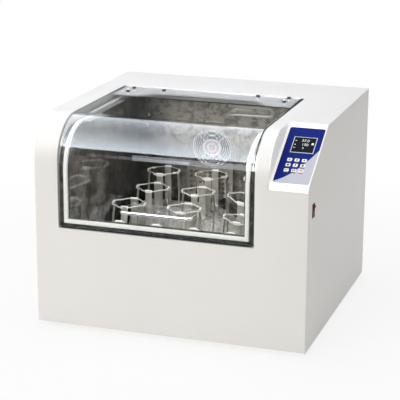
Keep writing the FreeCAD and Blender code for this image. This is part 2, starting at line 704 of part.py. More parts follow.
# Clear lid: bent sheet, the waved plate under its rear edge, the dome nuts and the handle
lid_band = side_band("lid_band", 0, lid_sheet, lid_low, lid_rear, (lid_left, lid_right))
bolt_holes, nuts = [], []
plate_z = top - lid_sheet - leaf_sheet
for number, (side, nut_in, nut_front) in enumerate(nut_sizes):
    nut_x = lid_left + nut_in if side < 0 else lid_right - nut_in
    nut_y = hinge_y - nut_front
    bolt_holes.append(cylinder(f"bolt_hole_{number}", "z", nut_x, nut_y, plate_z - 1,
                               bolt_radius, top - plate_z + beyond))
    stem = cylinder(f"bolt_{number}", "z", nut_x, nut_y, plate_z, bolt_radius,
                    top - plate_z + 1)
    head = polygon_bar(f"bolt_head_{number}", "z", 6, nut_x, nut_y, plate_z - head_height,
                       head_radius, head_height)
    washer = polygon_bar(f"washer_{number}", "z", 12, nut_x, nut_y, top, nut_radius + washer_rim,
                         washer_sheet)
    nut = polygon_bar(f"nut_block_{number}", "z", 6, nut_x, nut_y, top + washer_sheet,
                      nut_radius + 0.5, nut_height / 2 - washer_sheet)
    dome = polygon_bar(f"dome_{number}", "z", 12, nut_x, nut_y, top + nut_height / 2,
                       nut_radius - 1, nut_height / 2)
    nuts.append(fuse(f"nut_{number}", [stem, head, washer, nut, dome]))
handle_x = lid_mid + handle_offset
handle_z = lid_low + handle_rise
handle_half = handle_length / 2 - handle_bar
handle_screws = []
for number, sign in enumerate((-1, 1)):
    handle_screws.append(cylinder(f"handle_hole_{number}", "y", handle_x + handle_half * sign,
                                  front - beyond, handle_z, bolt_radius, lid_sheet + 10))
node("lid_sheet", cut("lid_cut", lid_band, bolt_holes + handle_screws))

plate_left = lid_left + plate_margin
plate_right = lid_right - plate_margin
wave_left = plate_left + plate_end
wave_right = plate_right - plate_end
plate_rear = hinge_y - hinge_radius - plate_back
plate_body = prism("lid_plate", "XY_Plane", plate_z, leaf_sheet, [
    (plate_left, plate_rear), (plate_left, hinge_y - plate_front),
    (wave_left, hinge_y - plate_front), (wave_left + plate_run, hinge_y - plate_middle),
    (wave_right - plate_run, hinge_y - plate_middle), (wave_right, hinge_y - plate_front),
    (plate_right, hinge_y - plate_front), (plate_right, plate_rear)])
doc.recompute()
plate_pad = plate_body.Tip
wave_edges = []
for number, edge in enumerate(plate_pad.Shape.Edges, 1):
    start, end = (v.Point for v in edge.Vertexes[:2])
    upright = abs(start.z - end.z) > leaf_sheet.value / 2
    inside = wave_left.value - 1 < start.x < wave_right.value + 1
    if upright and inside and start.y < plate_rear.value - 1:
        wave_edges.append(f"Edge{number}")
wave = plate_body.newObject("PartDesign::Fillet", "wave_rounding")
wave.Base = (plate_pad, wave_edges)
bind(wave, "Radius", plate_round)
plate_body.Tip = wave
knuckle_long = (plate_right - plate_left) / knuckle_count
lid_knuckles, base_knuckles, lid_clear, base_clear = [], [], [], []
for number in range(knuckle_count):
    start = plate_left + knuckle_long * number
    barrel = cylinder(f"knuckle_{number}", "x", start + knuckle_gap, hinge_y, hinge_z,
                      hinge_radius, knuckle_long - knuckle_gap * 2)
    space = box(f"knuckle_space_{number}", (start, start + knuckle_long),
                (hinge_y - hinge_radius - 0.4, hinge_y + hinge_radius + 0.4),
                (hinge_z - beyond, hinge_z + beyond))
    on_lid = number % 2 == 0
    (lid_knuckles if on_lid else base_knuckles).append(barrel)
    (base_clear if on_lid else lid_clear).append(space)
pin_bore = cylinder("hinge_bore", "x", plate_left - beyond, hinge_y, hinge_z,
                    pin_radius + pin_clearance, plate_right - plate_left + 2 * beyond)
leaf_bolts = fuse("leaf_bolts", bolt_holes)
upper_leaf = box("upper_leaf", (plate_left, plate_right), (plate_rear, hinge_y),
                 (plate_z, top - lid_sheet))
lid_leaf = cut("lid_leaf", upper_leaf, lid_clear)
plate_parts = [plate_body, lid_leaf] + lid_knuckles
node("hinge_plate", cut("hinge_plate_cut", fuse("hinge_plate_whole", plate_parts),
                        [pin_bore, leaf_bolts]))
node("hinge_pin", cylinder("hinge_pin_rod", "x", plate_left + 1, hinge_y, hinge_z, pin_radius,
                           plate_right - plate_left - 2))
base_leaf = box("base_leaf", (plate_left, plate_right), (hinge_y, opening_rear + leaf_run),
                (top - casing_sheet - leaf_sheet, top - casing_sheet))
base_drop = box("base_drop", (plate_left, plate_right), (hinge_y + 1, hinge_y + 1 + leaf_sheet),
                (hinge_z, top - casing_sheet))
base_cut = cut("base_leaf_cut", fuse("base_leaf_whole", [base_leaf, base_drop]), base_clear)
base_barrels = fuse("hinge_base_whole", [base_cut] + base_knuckles)
node("hinge_base", cut("hinge_base_cut", base_barrels, [pin_bore]))
node("lid_nuts", group("nuts", nuts))

# Handle: two legs, two bends and the bar, with a threaded end through the sheet
leg_out = handle_reach - handle_bar - handle_corner
bar_y = front - handle_reach + handle_bar
handle_parts = [cylinder("handle_rod", "x", handle_x - handle_half + handle_corner, bar_y,
                         handle_z, handle_bar, (handle_half - handle_corner) * 2)]
for number, (sign, turn) in enumerate(((-1, 180), (1, 270))):
    leg_x = handle_x + handle_half * sign
    handle_parts.append(cylinder(f"handle_leg_{number}", "y", leg_x, front - leg_out, handle_z,
                                 handle_bar, leg_out))
    handle_parts.append(cylinder(f"handle_stud_{number}", "y", leg_x, front - 1, handle_z,
                                 bolt_radius, lid_sheet + 1))
    handle_parts.append(torus(f"handle_bend_{number}", leg_x - handle_corner * sign,
                              bar_y + handle_corner, handle_z, handle_corner, handle_bar,
                              FreeCAD.Rotation(FreeCAD.Vector(0, 0, 1), turn), 90))
node("lid_handle", fuse("handle", handle_parts))

# Gasket: a soft frame just behind the clear sheet
gasket_x = (lid_left + gasket_margin, lid_right - gasket_margin)
gasket_band = side_band("gasket_band", gasket_front, gasket_back, lid_low + gasket_margin,
                        lid_rear - gasket_rear, gasket_x, (lid_drop, lid_drop))
gasket_window = box("gasket_window", (gasket_left, window_right + gasket_lip),
                    (front - beyond, window_rear + gasket_lip),
                    (window_low - gasket_lip, top + beyond))
node("opening_gasket", cut("gasket_cut", gasket_band, [gasket_window]))

# Chamber liner: a deep box under a flange that follows the lid
liner_x = (cavity_left - liner_sheet, cavity_right + liner_sheet)
liner_block = side_block("liner_block", gasket_back, cavity_low - liner_sheet,
                         cavity_rear + liner_sheet, liner_x, lid_drop)
flange_x = (lid_left - flange_lap, lid_right + flange_lap)
flange_band = side_band("flange_band", gasket_back, liner_back, lid_low - flange_lap,
                        lid_rear, flange_x, (lid_drop, lid_drop))
liner_cavity = side_block("liner_cavity", liner_back, cavity_low, cavity_rear,
                          (cavity_left, cavity_right), lid_drop)
liner_window = box("liner_window", (window_left, window_right), (front - beyond, window_rear),
                   (window_low, top + beyond))
idler_angles = (90, 210, 330)
spindles = [("main", centre_x, centre_y, shaft_radius)]
for number, angle in enumerate(idler_angles, 1):
    dx = idler_circle * math.cos(math.radians(angle))
    dy = idler_circle * math.sin(math.radians(angle))
    spindles.append((f"idler_{number}", centre_x + dx, centre_y + dy, idler_shaft))
floor_holes = []
for name, x, y, shaft in spindles:
    floor_holes.append(cylinder(f"{name}_floor_hole", "z", x, y, low + bed_height,
                                shaft + 4, chamber_floor))
fan_x = centre_x - fan_offset
fan_z = low + fan_up
fan_hole = cylinder("fan_hole", "y", fan_x, cavity_rear - beyond, fan_z, fan_radius, 60)
node("chamber_liner", cut("liner_cut", fuse("liner_solid", [liner_block, flange_band]),
                          [liner_cavity, liner_window, fan_hole] + floor_holes))

# Insulation: a thick jacket round the liner's sides, back and floor
wool_low = cavity_low - liner_sheet - insulation_wall
wool_rear = cavity_rear + liner_sheet + insulation_wall
wool_block = side_block("wool_block", liner_back + 1, wool_low, wool_rear,
                        (liner_x[0] - insulation_wall, liner_x[1] + insulation_wall),
                        lid_drop)
wool_hollow = side_block("wool_hollow", 0, cavity_low - liner_sheet,
                         cavity_rear + liner_sheet, liner_x)
wool_fan = cylinder("wool_fan_hole", "y", fan_x, cavity_rear, fan_z, fan_radius + 4, 60)
node("chamber_insulation", cut("wool_cut", wool_block, [wool_hollow, wool_fan] + floor_holes))

# Fan: wire guard on the back wall, bladed wheel in the opening, motor on a plate behind
guard_y = cavity_rear - fan_wire
guard = []
for number in range(4):
    ring = fan_hub + (fan_guard_radius - fan_hub) * (number + 1) / 4
    disc = polygon_bar(f"guard_disc_{number}", "y", ring_sides, fan_x, guard_y - fan_wire,
                       fan_z, ring, fan_wire * 2)
    bore = polygon_bar(f"guard_bore_{number}", "y", ring_sides, fan_x, guard_y - beyond, fan_z,
                       ring - fan_wire * 2, beyond * 2)
    guard.append(cut(f"guard_ring_{number}", disc, [bore]))
guard.append(polygon_bar("guard_cap", "y", ring_sides, fan_x, guard_y - fan_wire, fan_z,
                         fan_hub, fan_wire * 2))
for number in range(4):
    spoke = doc.addObject("Part::Box", f"guard_spoke_{number}")
    bind(spoke, "Length", fan_guard_radius - 1)
    bind(spoke, "Width", fan_wire * 2)
    bind(spoke, "Height", fan_wire * 2)
    spoke.Placement.Rotation = FreeCAD.Rotation(FreeCAD.Vector(0, 1, 0), 45 + 90 * number)
    side = spoke.Placement.Rotation.multVec(FreeCAD.Vector(0, 0, -1))
    place(spoke, fan_x + fan_wire * side.x, guard_y - fan_wire, fan_z + fan_wire * side.z)
    guard.append(spoke)
node("fan_guard", fuse("guard", guard))

wheel = [cylinder("wheel_hub", "y", fan_x, cavity_rear + 4, fan_z, 16, 16)]
blade_long = fan_radius - blade_gap
for number in range(blade_count):
    blade = doc.addObject("Part::Box", f"blade_{number}")
    bind(blade, "Length", blade_long)
    bind(blade, "Width", 1.5)
    bind(blade, "Height", blade_width)
    spin = FreeCAD.Rotation(FreeCAD.Vector(0, 1, 0), 360 * number / blade_count)
    pitch = FreeCAD.Rotation(FreeCAD.Vector(1, 0, 0), 32)
    offset = spin.multVec(pitch.multVec(FreeCAD.Vector(0, 0, -blade_width.value / 2)))
    blade.Placement.Rotation = spin.multiply(pitch)
    place(blade, fan_x + offset.x, cavity_rear + 12 + offset.y, fan_z + offset.z)
    wheel.append(blade)
wheel.append(cylinder("wheel_shaft", "y", fan_x, cavity_rear + 4, fan_z, fan_shaft,
                      wool_rear - cavity_rear + 20))
node("fan_wheel", fuse("wheel", wheel))

plate_half = fan_radius + 12
motor_plate = box("fan_motor_plate", (fan_x - plate_half, fan_x + plate_half),
                  (wool_rear, wool_rear + flange_sheet), (fan_z - plate_half, fan_z + plate_half))
motor_can = cylinder("fan_motor_can", "y", fan_x, wool_rear + flange_sheet, fan_z, fan_motor_radius,
                     fan_motor_depth)
motor_bore = cylinder("fan_motor_bore", "y", fan_x, wool_rear - beyond, fan_z,
                      fan_shaft + bearing_clearance, 30 + beyond)
node("fan_motor", cut("fan_motor_cut", fuse("fan_motor_solid", [motor_plate, motor_can]),
                      [motor_bore]))

# Heater: one hairpin tube on the right of the back wall, its ends through the wall
heater_x = centre_x + heater_right
heater_y = cavity_rear - heater_stand
heater_low = ceiling - heater_drop - heater_bend * 2
upright = FreeCAD.Rotation(FreeCAD.Vector(1, 0, 0), 90)
quarter_turn = FreeCAD.Rotation(FreeCAD.Vector(0, 1, 0), 90)
heater = [torus("heater_bend", heater_x + heater_run, heater_y, heater_low + heater_bend,
                heater_bend, heater_bar, quarter_turn.multiply(upright), 180)]
for number in range(2):
    run_z = heater_low + heater_bend * 2 * number
    heater.append(cylinder(f"heater_run_{number}", "x", heater_x, heater_y, run_z, heater_bar,
                           heater_run))
    heater.append(cylinder(f"heater_end_{number}", "y", heater_x, heater_y - heater_bar, run_z,
                           heater_bar, heater_stand + heater_bar))
    heater.append(polygon_bar(f"heater_flange_{number}", "y", 6, heater_x,
                              cavity_rear - flange_sheet, run_z, heater_bar + heater_flange,
                              flange_sheet))
node("heater_tube", fuse("heater", heater))

# Temperature sensor: a slim probe in a clip on the back wall
sensor_x = cavity_left + sensor_left
sensor_z = ceiling - sensor_drop
node("temperature_sensor", fuse("sensor", [
    cylinder("sensor_nut", "y", sensor_x, cavity_rear - 6, sensor_z, 7, 6),
    cylinder("sensor_probe", "y", sensor_x, cavity_rear - sensor_length, sensor_z, 3,
             sensor_length)]))

# Perforated air outlet on the right of the back wall
outlet_x = (centre_x - outlet_left, centre_x - outlet_left + hole_pitch * (hole_columns + 1))
outlet_top = fan_z - fan_guard_radius - outlet_gap - liner_sheet
outlet_z = (outlet_top - hole_pitch * (hole_rows + 1), outlet_top)
outlet_front = cavity_rear - outlet_depth
outlet_sheet = box("outlet_sheet", outlet_x, (outlet_front, outlet_front + liner_sheet), outlet_z)
outlet_sides = []
for number, side_x in enumerate((outlet_x[0], outlet_x[1] - liner_sheet)):
    outlet_sides.append(box(f"outlet_side_{number}", (side_x, side_x + liner_sheet),
                            (outlet_front + liner_sheet, cavity_rear), outlet_z))
outlet_sides.append(box("outlet_rim", (outlet_x[0], outlet_x[1]),
                        (outlet_front, cavity_rear), (outlet_z[1], outlet_z[1] + liner_sheet)))
outlet_holes = []
for column in range(hole_columns):
    for line in range(hole_rows):
        outlet_holes.append(polygon_bar(
            f"outlet_hole_{column}_{line}", "y", hole_sides,
            outlet_x[0] + hole_pitch * (column + 1), outlet_front - 1,
            outlet_z[0] + hole_pitch * (line + 1), hole_radius, liner_sheet + 2))
node("perforated_outlet", cut("outlet_cut", fuse("outlet_whole", [outlet_sheet] + outlet_sides),
                              outlet_holes))

# Drive bed: a folded plate on the base pan that carries the motor and all spindles
bed_low = low + bed_height
bed_top = bed_low + bed_sheet
motor_x = inside_right - motor_side - motor_radius
motor_distance = motor_x - centre_x
bed_x = (centre_x - bed_left, motor_x + motor_radius + bed_margin)
bed_y = (centre_y - bed_front, centre_y + bed_rear)
bed = [box("bed_plate", bed_x, bed_y, (bed_low, bed_top))]
for number, leg_y in enumerate((bed_y[0], bed_y[1] - bed_leg)):
    bed.append(box(f"bed_leg_{number}", bed_x, (leg_y, leg_y + bed_leg),
                   (low + casing_sheet, bed_low)))
bed_holes = []
for name, x, y, shaft in spindles:
    bed_holes.append(cylinder(f"{name}_bed_hole", "z", x, y, bed_low - 1, shaft + 2,
                              bed_sheet + 2))
bed_holes.append(cylinder("motor_bed_hole", "z", motor_x, centre_y, bed_low - 1,
                          motor_shaft + 4, bed_sheet + 2))
node("drive_bed", cut("bed_cut", fuse("bed", bed), bed_holes))

housings = []
for name, x, y, shaft in spindles:
    barrel = cylinder(f"{name}_barrel", "z", x, y, bed_top, shaft * 2.4 + 4, housing_height)
    foot_half = shaft * 2.4 + housing_foot
    foot_plate = box(f"{name}_foot_plate", (x - foot_half, x + foot_half),
                     (y - foot_half, y + foot_half), (bed_top, bed_top + foot_sheet))
    bore = cylinder(f"{name}_bore", "z", x, y, bed_top - 1, shaft + bearing_clearance,
                    housing_height + 2)
    housings.append(cut(f"{name}_housing", fuse(f"{name}_casting", [barrel, foot_plate]), [bore]))
node("bearing_housings", group("housings", housings))

# Cranks: main spindle with pulley and counterweight, three idlers, and the motor pulley
disc_low = cavity_low + disc_gap
disc_top = disc_low + disc_height
carrier_low = disc_top + carrier_gap
carrier_top = carrier_low + carrier_sheet
belt_low = bed_low - belt_drop - belt_width
pulley_low = belt_low - 0.5 - pulley_flange
pulley_high = belt_low + belt_width + 0.5


def pulley(name, x, y, radius):
    """A flat belt pulley between two flanges."""
    return [
        cylinder(name + "_drum", "z", x, y, pulley_low, radius,
                 pulley_high + pulley_flange - pulley_low),
        cylinder(name + "_flange_low", "z", x, y, pulley_low, radius + 3, pulley_flange),
        cylinder(name + "_flange_high", "z", x, y, pulley_high, radius + 3, pulley_flange),
    ]


weight = doc.addObject("Part::Cylinder", "counterweight")
weight.Placement.Rotation = FreeCAD.Rotation(
    FreeCAD.Vector(0, 0, 1), 180 - weight_sweep.value / 2)
bind(weight, "Angle", weight_sweep)
bind(weight, "Radius", weight_radius)
bind(weight, "Height", disc_height)
place(weight, centre_x, centre_y, disc_low)
node("main_crank", fuse("main_crank_whole", [
    cylinder("main_shaft", "z", centre_x, centre_y, pulley_low, shaft_radius,
             disc_top - pulley_low),
    cylinder("main_disc", "z", centre_x, centre_y, disc_low, main_disc, disc_height),
    cylinder("main_pin", "z", centre_x + orbit, centre_y, disc_top, crank_pin,
             carrier_top - disc_top - 0.5),
    weight] + pulley("driven_pulley", centre_x, centre_y, pulley_radius)))
for name, x, y, shaft in spindles[1:]:
    node(f"{name}_crank", fuse(f"{name}_crank_whole", [
        cylinder(f"{name}_shaft", "z", x, y, bed_low, shaft, disc_top - bed_low),
        cylinder(f"{name}_disc", "z", x, y, disc_low, idler_disc, disc_height),
        cylinder(f"{name}_pin", "z", x + orbit, y, disc_top, idler_pin,
                 carrier_top - disc_top - 0.5)]))
node("motor_pulley", fuse("motor_pulley_whole", [
    cylinder("motor_spindle", "z", motor_x, centre_y, pulley_low, motor_shaft,
             bed_top + shaft_rise - pulley_low)] + pulley("small_pulley", motor_x, centre_y,
                                                  motor_pulley_radius)))

motor_solid = fuse("motor_solid", [
    cylinder("motor_can", "z", motor_x, centre_y, bed_top, motor_radius, motor_height),
    cylinder("motor_cap", "z", motor_x, centre_y, bed_top + motor_height, motor_radius - 6, 8)])
motor_hole = cylinder("motor_bore", "z", motor_x, centre_y, bed_top - 1,
                      motor_shaft + bearing_clearance, shaft_rise + 2)
node("drive_motor", cut("motor_cut", motor_solid, [motor_hole]))


def belt_loop(name, grow):
    """The outline round both pulleys, grown by a distance, as one padded body."""
    big, little = pulley_radius + grow, motor_pulley_radius + grow
    lean = (big - little) / motor_distance
    rise = root(1 - lean * lean)
    corners = [
        (centre_x + big * lean, centre_y + big * rise),
        (centre_x + big * lean, centre_y - big * rise),
        (motor_x + little * lean, centre_y - little * rise),
        (motor_x + little * lean, centre_y + little * rise),
    ]
    arcs = {0: ((centre_x, centre_y), False), 2: ((motor_x, centre_y), False)}
    return prism(name, "XY_Plane", belt_low, belt_width, corners, arcs)


node("drive_belt", cut("belt_cut", belt_loop("belt_outer", belt_gap + belt_sheet),
                       [belt_loop("belt_inner", belt_gap)]))

# Platform: the cast spider on the crank pins and the tray over it
platform_x = centre_x + orbit
spider = [cylinder("spider_hub", "z", platform_x, centre_y, carrier_low, spider_hub, carrier_sheet)]
for number, (angle, (name, x, y, shaft)) in enumerate(zip(idler_angles, spindles[1:])):
    arm = doc.addObject("Part::Box", f"spider_arm_{number}")
    bind(arm, "Length", idler_circle)
    bind(arm, "Width", spider_arm)
    bind(arm, "Height", carrier_sheet)
    arm.Placement.Rotation = FreeCAD.Rotation(FreeCAD.Vector(0, 0, 1), angle)
    shift = arm.Placement.Rotation.multVec(FreeCAD.Vector(0, -spider_arm.value / 2, 0))
    place(arm, platform_x + shift.x, centre_y + shift.y, carrier_low)
    spider.append(arm)
    spider.append(cylinder(f"spider_boss_{number}", "z", x + orbit, y, carrier_low, spider_boss,
                           carrier_sheet))
spider_bores = []
for name, x, y, shaft in spindles:
    bore = crank_pin if name == "main" else idler_pin
    spider_bores.append(cylinder(f"{name}_pin_bore", "z", x + orbit, y, carrier_low - 1,
                                 bore + bearing_clearance, carrier_sheet + 2))
node("platform_spider", cut("spider_cut", fuse("spider", spider), spider_bores))

tray_half_x = (cavity_right - cavity_left) / 2 - orbit - orbit_gap
tray_half_y = (cavity_rear - front - liner_back) / 2 - orbit - orbit_gap
tray_top = carrier_top + tray_sheet
tray_x = (platform_x - tray_half_x, platform_x + tray_half_x)
tray_y = (centre_y - tray_half_y, centre_y + tray_half_y)
tray_block = box("tray_block", tray_x, tray_y, (carrier_top - tray_lip, tray_top))
tray_hollow = box("tray_hollow", (tray_x[0] + 2, tray_x[1] - 2), (tray_y[0] + 2, tray_y[1] - 2),
                  (carrier_top - tray_lip - beyond, carrier_top))
node("platform_tray", cut("tray_cut", tray_block, [tray_hollow]))


def clamp(name, ring, rise):
    """A spring clamp about the origin: a cross of strip bent up into four fingers, a
    rolled plate on each, and the spring wire from plate to plate."""
    parts = []
    half = finger_width / 2
    quarter = [FreeCAD.Rotation(FreeCAD.Vector(0, 0, 1), 90 * turn) for turn in range(4)]
    for number, turn in enumerate(quarter):
        for piece, (x, y, z) in {
                "base": ((0, ring), (-half, half), (0, clamp_sheet)),
                "finger": ((ring - clamp_sheet, ring), (-half, half), (0, rise)),
                "plate": ((ring - tab_depth, ring), (-half - 1, half + 1),
                          (rise - tab_height, rise))}.items():
            item = doc.addObject("Part::Box", f"{name}_{piece}_{number}")
            for prop, (start, end) in (("Length", x), ("Width", y), ("Height", z)):
                bind(item, prop, as_size(end) - start)
            item.Placement.Rotation = turn
            along = turn.multVec(FreeCAD.Vector(1, 0, 0))
            across = turn.multVec(FreeCAD.Vector(0, 1, 0))
            start_x, start_y = as_size(x[0]), as_size(y[0])
            place(item, start_x * round(along.x) + start_y * round(across.x),
                  start_x * round(along.y) + start_y * round(across.y), z[0])
            parts.append(item)
        middle = ring - tab_depth / 2
        wire = doc.addObject("Part::Prism", f"{name}_wire_{number}")
        wire.Polygon = 6
        lie = FreeCAD.Rotation(FreeCAD.Vector(0, 0, 1), 90 * number + 135)
        wire.Placement.Rotation = lie.multiply(TURNS["x"])
        bind(wire, "Circumradius", wire_radius)
        bind(wire, "Height", root(Size(2)) * (middle - half))
        along = turn.multVec(FreeCAD.Vector(1, 0, 0))
        across = turn.multVec(FreeCAD.Vector(0, 1, 0))
        place(wire, middle * round(along.x) + half * round(across.x),
              middle * round(along.y) + half * round(across.y), rise - tab_height / 2)
        parts.append(wire)
    return fuse(name, parts)


small_clamp = clamp("small_clamp", small_ring, small_rise)


def seat_clamp(name, master, x, y, turn):
    """One clamp on the tray, turned about its own middle."""
    item = group(name + "_seat", [master])
    item.Placement.Rotation = FreeCAD.Rotation(FreeCAD.Vector(0, 0, 1), turn)
    node(name, place(item, x, y, tray_top))


for number in range(4):
    seat_clamp(f"small_clamp_{number + 1}", small_clamp, platform_x + small_pitch * (number - 1.5),
               tray_y[0] + clamp_row, 9)
for line, pitch in enumerate((large_pitch, middle_pitch, rear_pitch)):
    large_clamp = clamp(f"large_clamp_row_{line}", large_ring, large_rise + row_rise * line)
    for column in range(3):
        seat_clamp(f"large_clamp_{3 * line + column + 1}", large_clamp,
                   platform_x + pitch * (column - 1),
                   tray_y[0] + clamp_row + large_first + row_pitch * line, 4)

# Build, check and write every sub-part
doc.recompute()
failed = [item.Name for item in doc.Objects if {"Invalid", "Error"} & set(item.State)]
if failed:
    raise RuntimeError("objects not built: " + ", ".join(failed))
os.makedirs("parts", exist_ok=True)
facets = 0
for name, item in sorted(nodes.items()):
    shape = item.Shape
    if shape.isNull() or not shape.isValid():
        raise RuntimeError("no valid shape for " + name)
    facets += len(shape.tessellate(0.2)[1])
    shape.exportStep(f"parts/{name}.step")
print(len(nodes), "nodes,", facets, "triangles")
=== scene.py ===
import math
import bpy
from mathutils import Matrix, Vector


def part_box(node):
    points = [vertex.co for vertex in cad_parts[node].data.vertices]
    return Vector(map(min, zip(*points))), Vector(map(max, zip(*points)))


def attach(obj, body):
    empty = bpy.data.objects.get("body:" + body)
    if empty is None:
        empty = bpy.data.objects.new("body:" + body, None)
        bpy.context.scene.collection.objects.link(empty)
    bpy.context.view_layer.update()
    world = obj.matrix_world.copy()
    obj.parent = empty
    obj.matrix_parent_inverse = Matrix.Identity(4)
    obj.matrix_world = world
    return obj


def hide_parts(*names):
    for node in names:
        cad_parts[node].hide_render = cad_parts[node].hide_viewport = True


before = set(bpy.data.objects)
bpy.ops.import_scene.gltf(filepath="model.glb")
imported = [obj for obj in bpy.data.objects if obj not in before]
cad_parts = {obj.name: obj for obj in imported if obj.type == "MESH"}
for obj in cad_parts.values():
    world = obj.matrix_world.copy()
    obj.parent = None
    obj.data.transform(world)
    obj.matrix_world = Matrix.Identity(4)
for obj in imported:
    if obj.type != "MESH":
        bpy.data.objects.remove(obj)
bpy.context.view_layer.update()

# The camera stands in front of the instrument, to its right and above it, and looks down a
# little. Its long lens keeps the casing's edges nearly parallel.
view_turn = math.radians(18.382)
view_fall = math.radians(16.106)
view_roll = math.radians(0.283)
view_place = Vector((1.1670, -3.5748, 1.3751))
bpy.ops.object.camera_add()
camera = bpy.context.object
camera.name = "camera"
camera.data.lens = 130.94
camera.data.sensor_width = 36
camera.matrix_world = (
    Matrix.Translation(view_place) @ Matrix.Rotation(view_turn, 4, "Z")
    @ Matrix.Rotation(math.pi / 2 - view_fall, 4, "X") @ Matrix.Rotation(view_roll, 4, "Z"))
bpy.context.scene.camera = camera
bpy.context.scene.view_settings.view_transform = "Standard"


# The floor and the world are white to the eye, to glass and to metal. The floor still takes a
# faint shadow of the instrument, and the world gives a weak even light.
def math_node(tree, operation, *values):
    """A sum of numbers and sockets; gives the socket of its result."""
    node = tree.nodes.new("ShaderNodeMath")
    node.operation = operation
    for socket, value in zip(node.inputs, values):
        if isinstance(value, (int, float)):
            socket.default_value = value
        else:
            tree.links.new(value, socket)
    return node.outputs[0]


def seen_directly(tree):
    """One for a ray from the eye, from a mirror or through glass, and zero for the rest."""
    rays = tree.nodes.new("ShaderNodeLightPath")
    total = rays.outputs["Is Camera Ray"]
    for kind in ("Is Glossy Ray", "Is Transmission Ray"):
        total = math_node(tree, "MAXIMUM", total, rays.outputs[kind])
    return total


def blend_to(surface, tree, share, first, second):
    """Leads a blend of two shaders to the surface; the share is that of the second."""
    blend = tree.nodes.new("ShaderNodeMixShader")
    for socket, value in zip(blend.inputs, (share, first, second)):
        tree.links.new(value, socket)
    tree.links.new(blend.outputs[0], surface.inputs[0])


floor_size = 40
floor_gap = 0.0005
floor_shadow = 0.16
shadow_reach = (0.5, 1.6)
bpy.ops.mesh.primitive_plane_add(size=floor_size, location=(0, 0, -floor_gap))
floor = bpy.context.object
floor.name = "floor"
floor_white = bpy.data.materials.new("floor_white")
floor_white.use_nodes = True
tree = floor_white.node_tree
tree.nodes.clear()
matt = tree.nodes.new("ShaderNodeBsdfDiffuse")
matt.inputs["Color"].default_value = (0.82, 0.82, 0.82, 1)
glow = tree.nodes.new("ShaderNodeEmission")
place = tree.nodes.new("ShaderNodeTexCoord")
reach = tree.nodes.new("ShaderNodeVectorMath")
reach.operation = "LENGTH"
near = tree.nodes.new("ShaderNodeMapRange")
near.interpolation_type = "SMOOTHSTEP"
near.inputs["From Min"].default_value = shadow_reach[0]
near.inputs["From Max"].default_value = shadow_reach[1]
near.inputs["To Min"].default_value = 1 - floor_shadow
near.inputs["To Max"].default_value = 1.0
surface = tree.nodes.new("ShaderNodeOutputMaterial")
tree.links.new(place.outputs["Object"], reach.inputs[0])
tree.links.new(reach.outputs["Value"], near.inputs["Value"])
shade = math_node(tree, "MULTIPLY", seen_directly(tree), near.outputs[0])
blend_to(surface, tree, shade, matt.outputs[0], glow.outputs[0])
floor.data.materials.append(floor_white)

world = bpy.data.worlds.new("white_room")
bpy.context.scene.world = world
world.use_nodes = True
tree = world.node_tree
tree.nodes.clear()
room = tree.nodes.new("ShaderNodeBackground")
room.inputs["Color"].default_value = (1.0, 0.98, 0.93, 1)
room.inputs["Strength"].default_value = 0.4
backdrop = tree.nodes.new("ShaderNodeBackground")
backdrop.inputs["Color"].default_value = (1, 1, 1, 1)
surface = tree.nodes.new("ShaderNodeOutputWorld")
blend_to(surface, tree, seen_directly(tree), room.outputs[0], backdrop.outputs[0])


# Soft studio lamps: a large one over the front left, a broad one overhead and a weak one on
# the right, so that the top is brightest and the right side darkest.
def lamp(name, place, aim, width, watts, colour):
    bpy.ops.object.light_add(type="AREA", location=place)
    light = bpy.context.object
    light.name = name
    light.data.size = width
    light.data.energy = watts
    light.data.color = colour
    light.rotation_euler = (Vector(aim) - Vector(place)).to_track_quat("-Z", "Y").to_euler()


lamp("front_lamp", (-1.3, -3.2, 1.9), (0, -0.2, 0.25), 1.8, 48, (1.0, 0.965, 0.905))
lamp("top_lamp", (-0.3, 0.3, 3.4), (0, 0, 0.4), 2.6, 63, (0.895, 0.92, 1.0))
lamp("side_lamp", (3.4, -1.4, 1.2), (0, 0, 0.25), 1.6, 5, (1.0, 0.97, 0.91))


# Cards that only polished surfaces see: a bright bent sheet overhead, which the curve of the
# lid mirrors as a pale band, and dark ones behind and in front, which keep its flats clear.
def own_place(tree):
    """The X, Y and Z of a point on the piece, as sockets."""
    place = tree.nodes.new("ShaderNodeTexCoord")
    axes = tree.nodes.new("ShaderNodeSeparateXYZ")
    tree.links.new(place.outputs["Object"], axes.inputs[0])
    return axes.outputs


def card(piece, name, strength, colour=(1, 1, 1), rise=0.0):
    """Makes a mesh a card, whose strength rises with the square of the way to the front."""
    piece.name = name
    sheen = bpy.data.materials.new(name)
    sheen.use_nodes = True
    tree = sheen.node_tree
    tree.nodes.clear()
    ahead = math_node(tree, "SUBTRACT", 0.0, own_place(tree)["Y"])
    forward = math_node(tree, "MAXIMUM", ahead, 0.0)
    square = math_node(tree, "POWER", forward, 2.0)
    glow = tree.nodes.new("ShaderNodeEmission")
    glow.inputs["Color"].default_value = (*colour, 1)
    rays = tree.nodes.new("ShaderNodeLightPath")
    mirrored = math_node(tree, "GREATER_THAN", rays.outputs["Glossy Depth"], 0.5)
    unseen = tree.nodes.new("ShaderNodeBsdfTransparent")
    surface = tree.nodes.new("ShaderNodeOutputMaterial")
    tree.links.new(math_node(tree, "MULTIPLY_ADD", square, rise, strength), glow.inputs["Strength"])
    blend_to(surface, tree, mirrored, unseen.outputs[0], glow.outputs[0])
    piece.data.materials.append(sheen)
    for kind in ("camera", "diffuse", "volume_scatter", "shadow"):
        setattr(piece, "visible_" + kind, False)


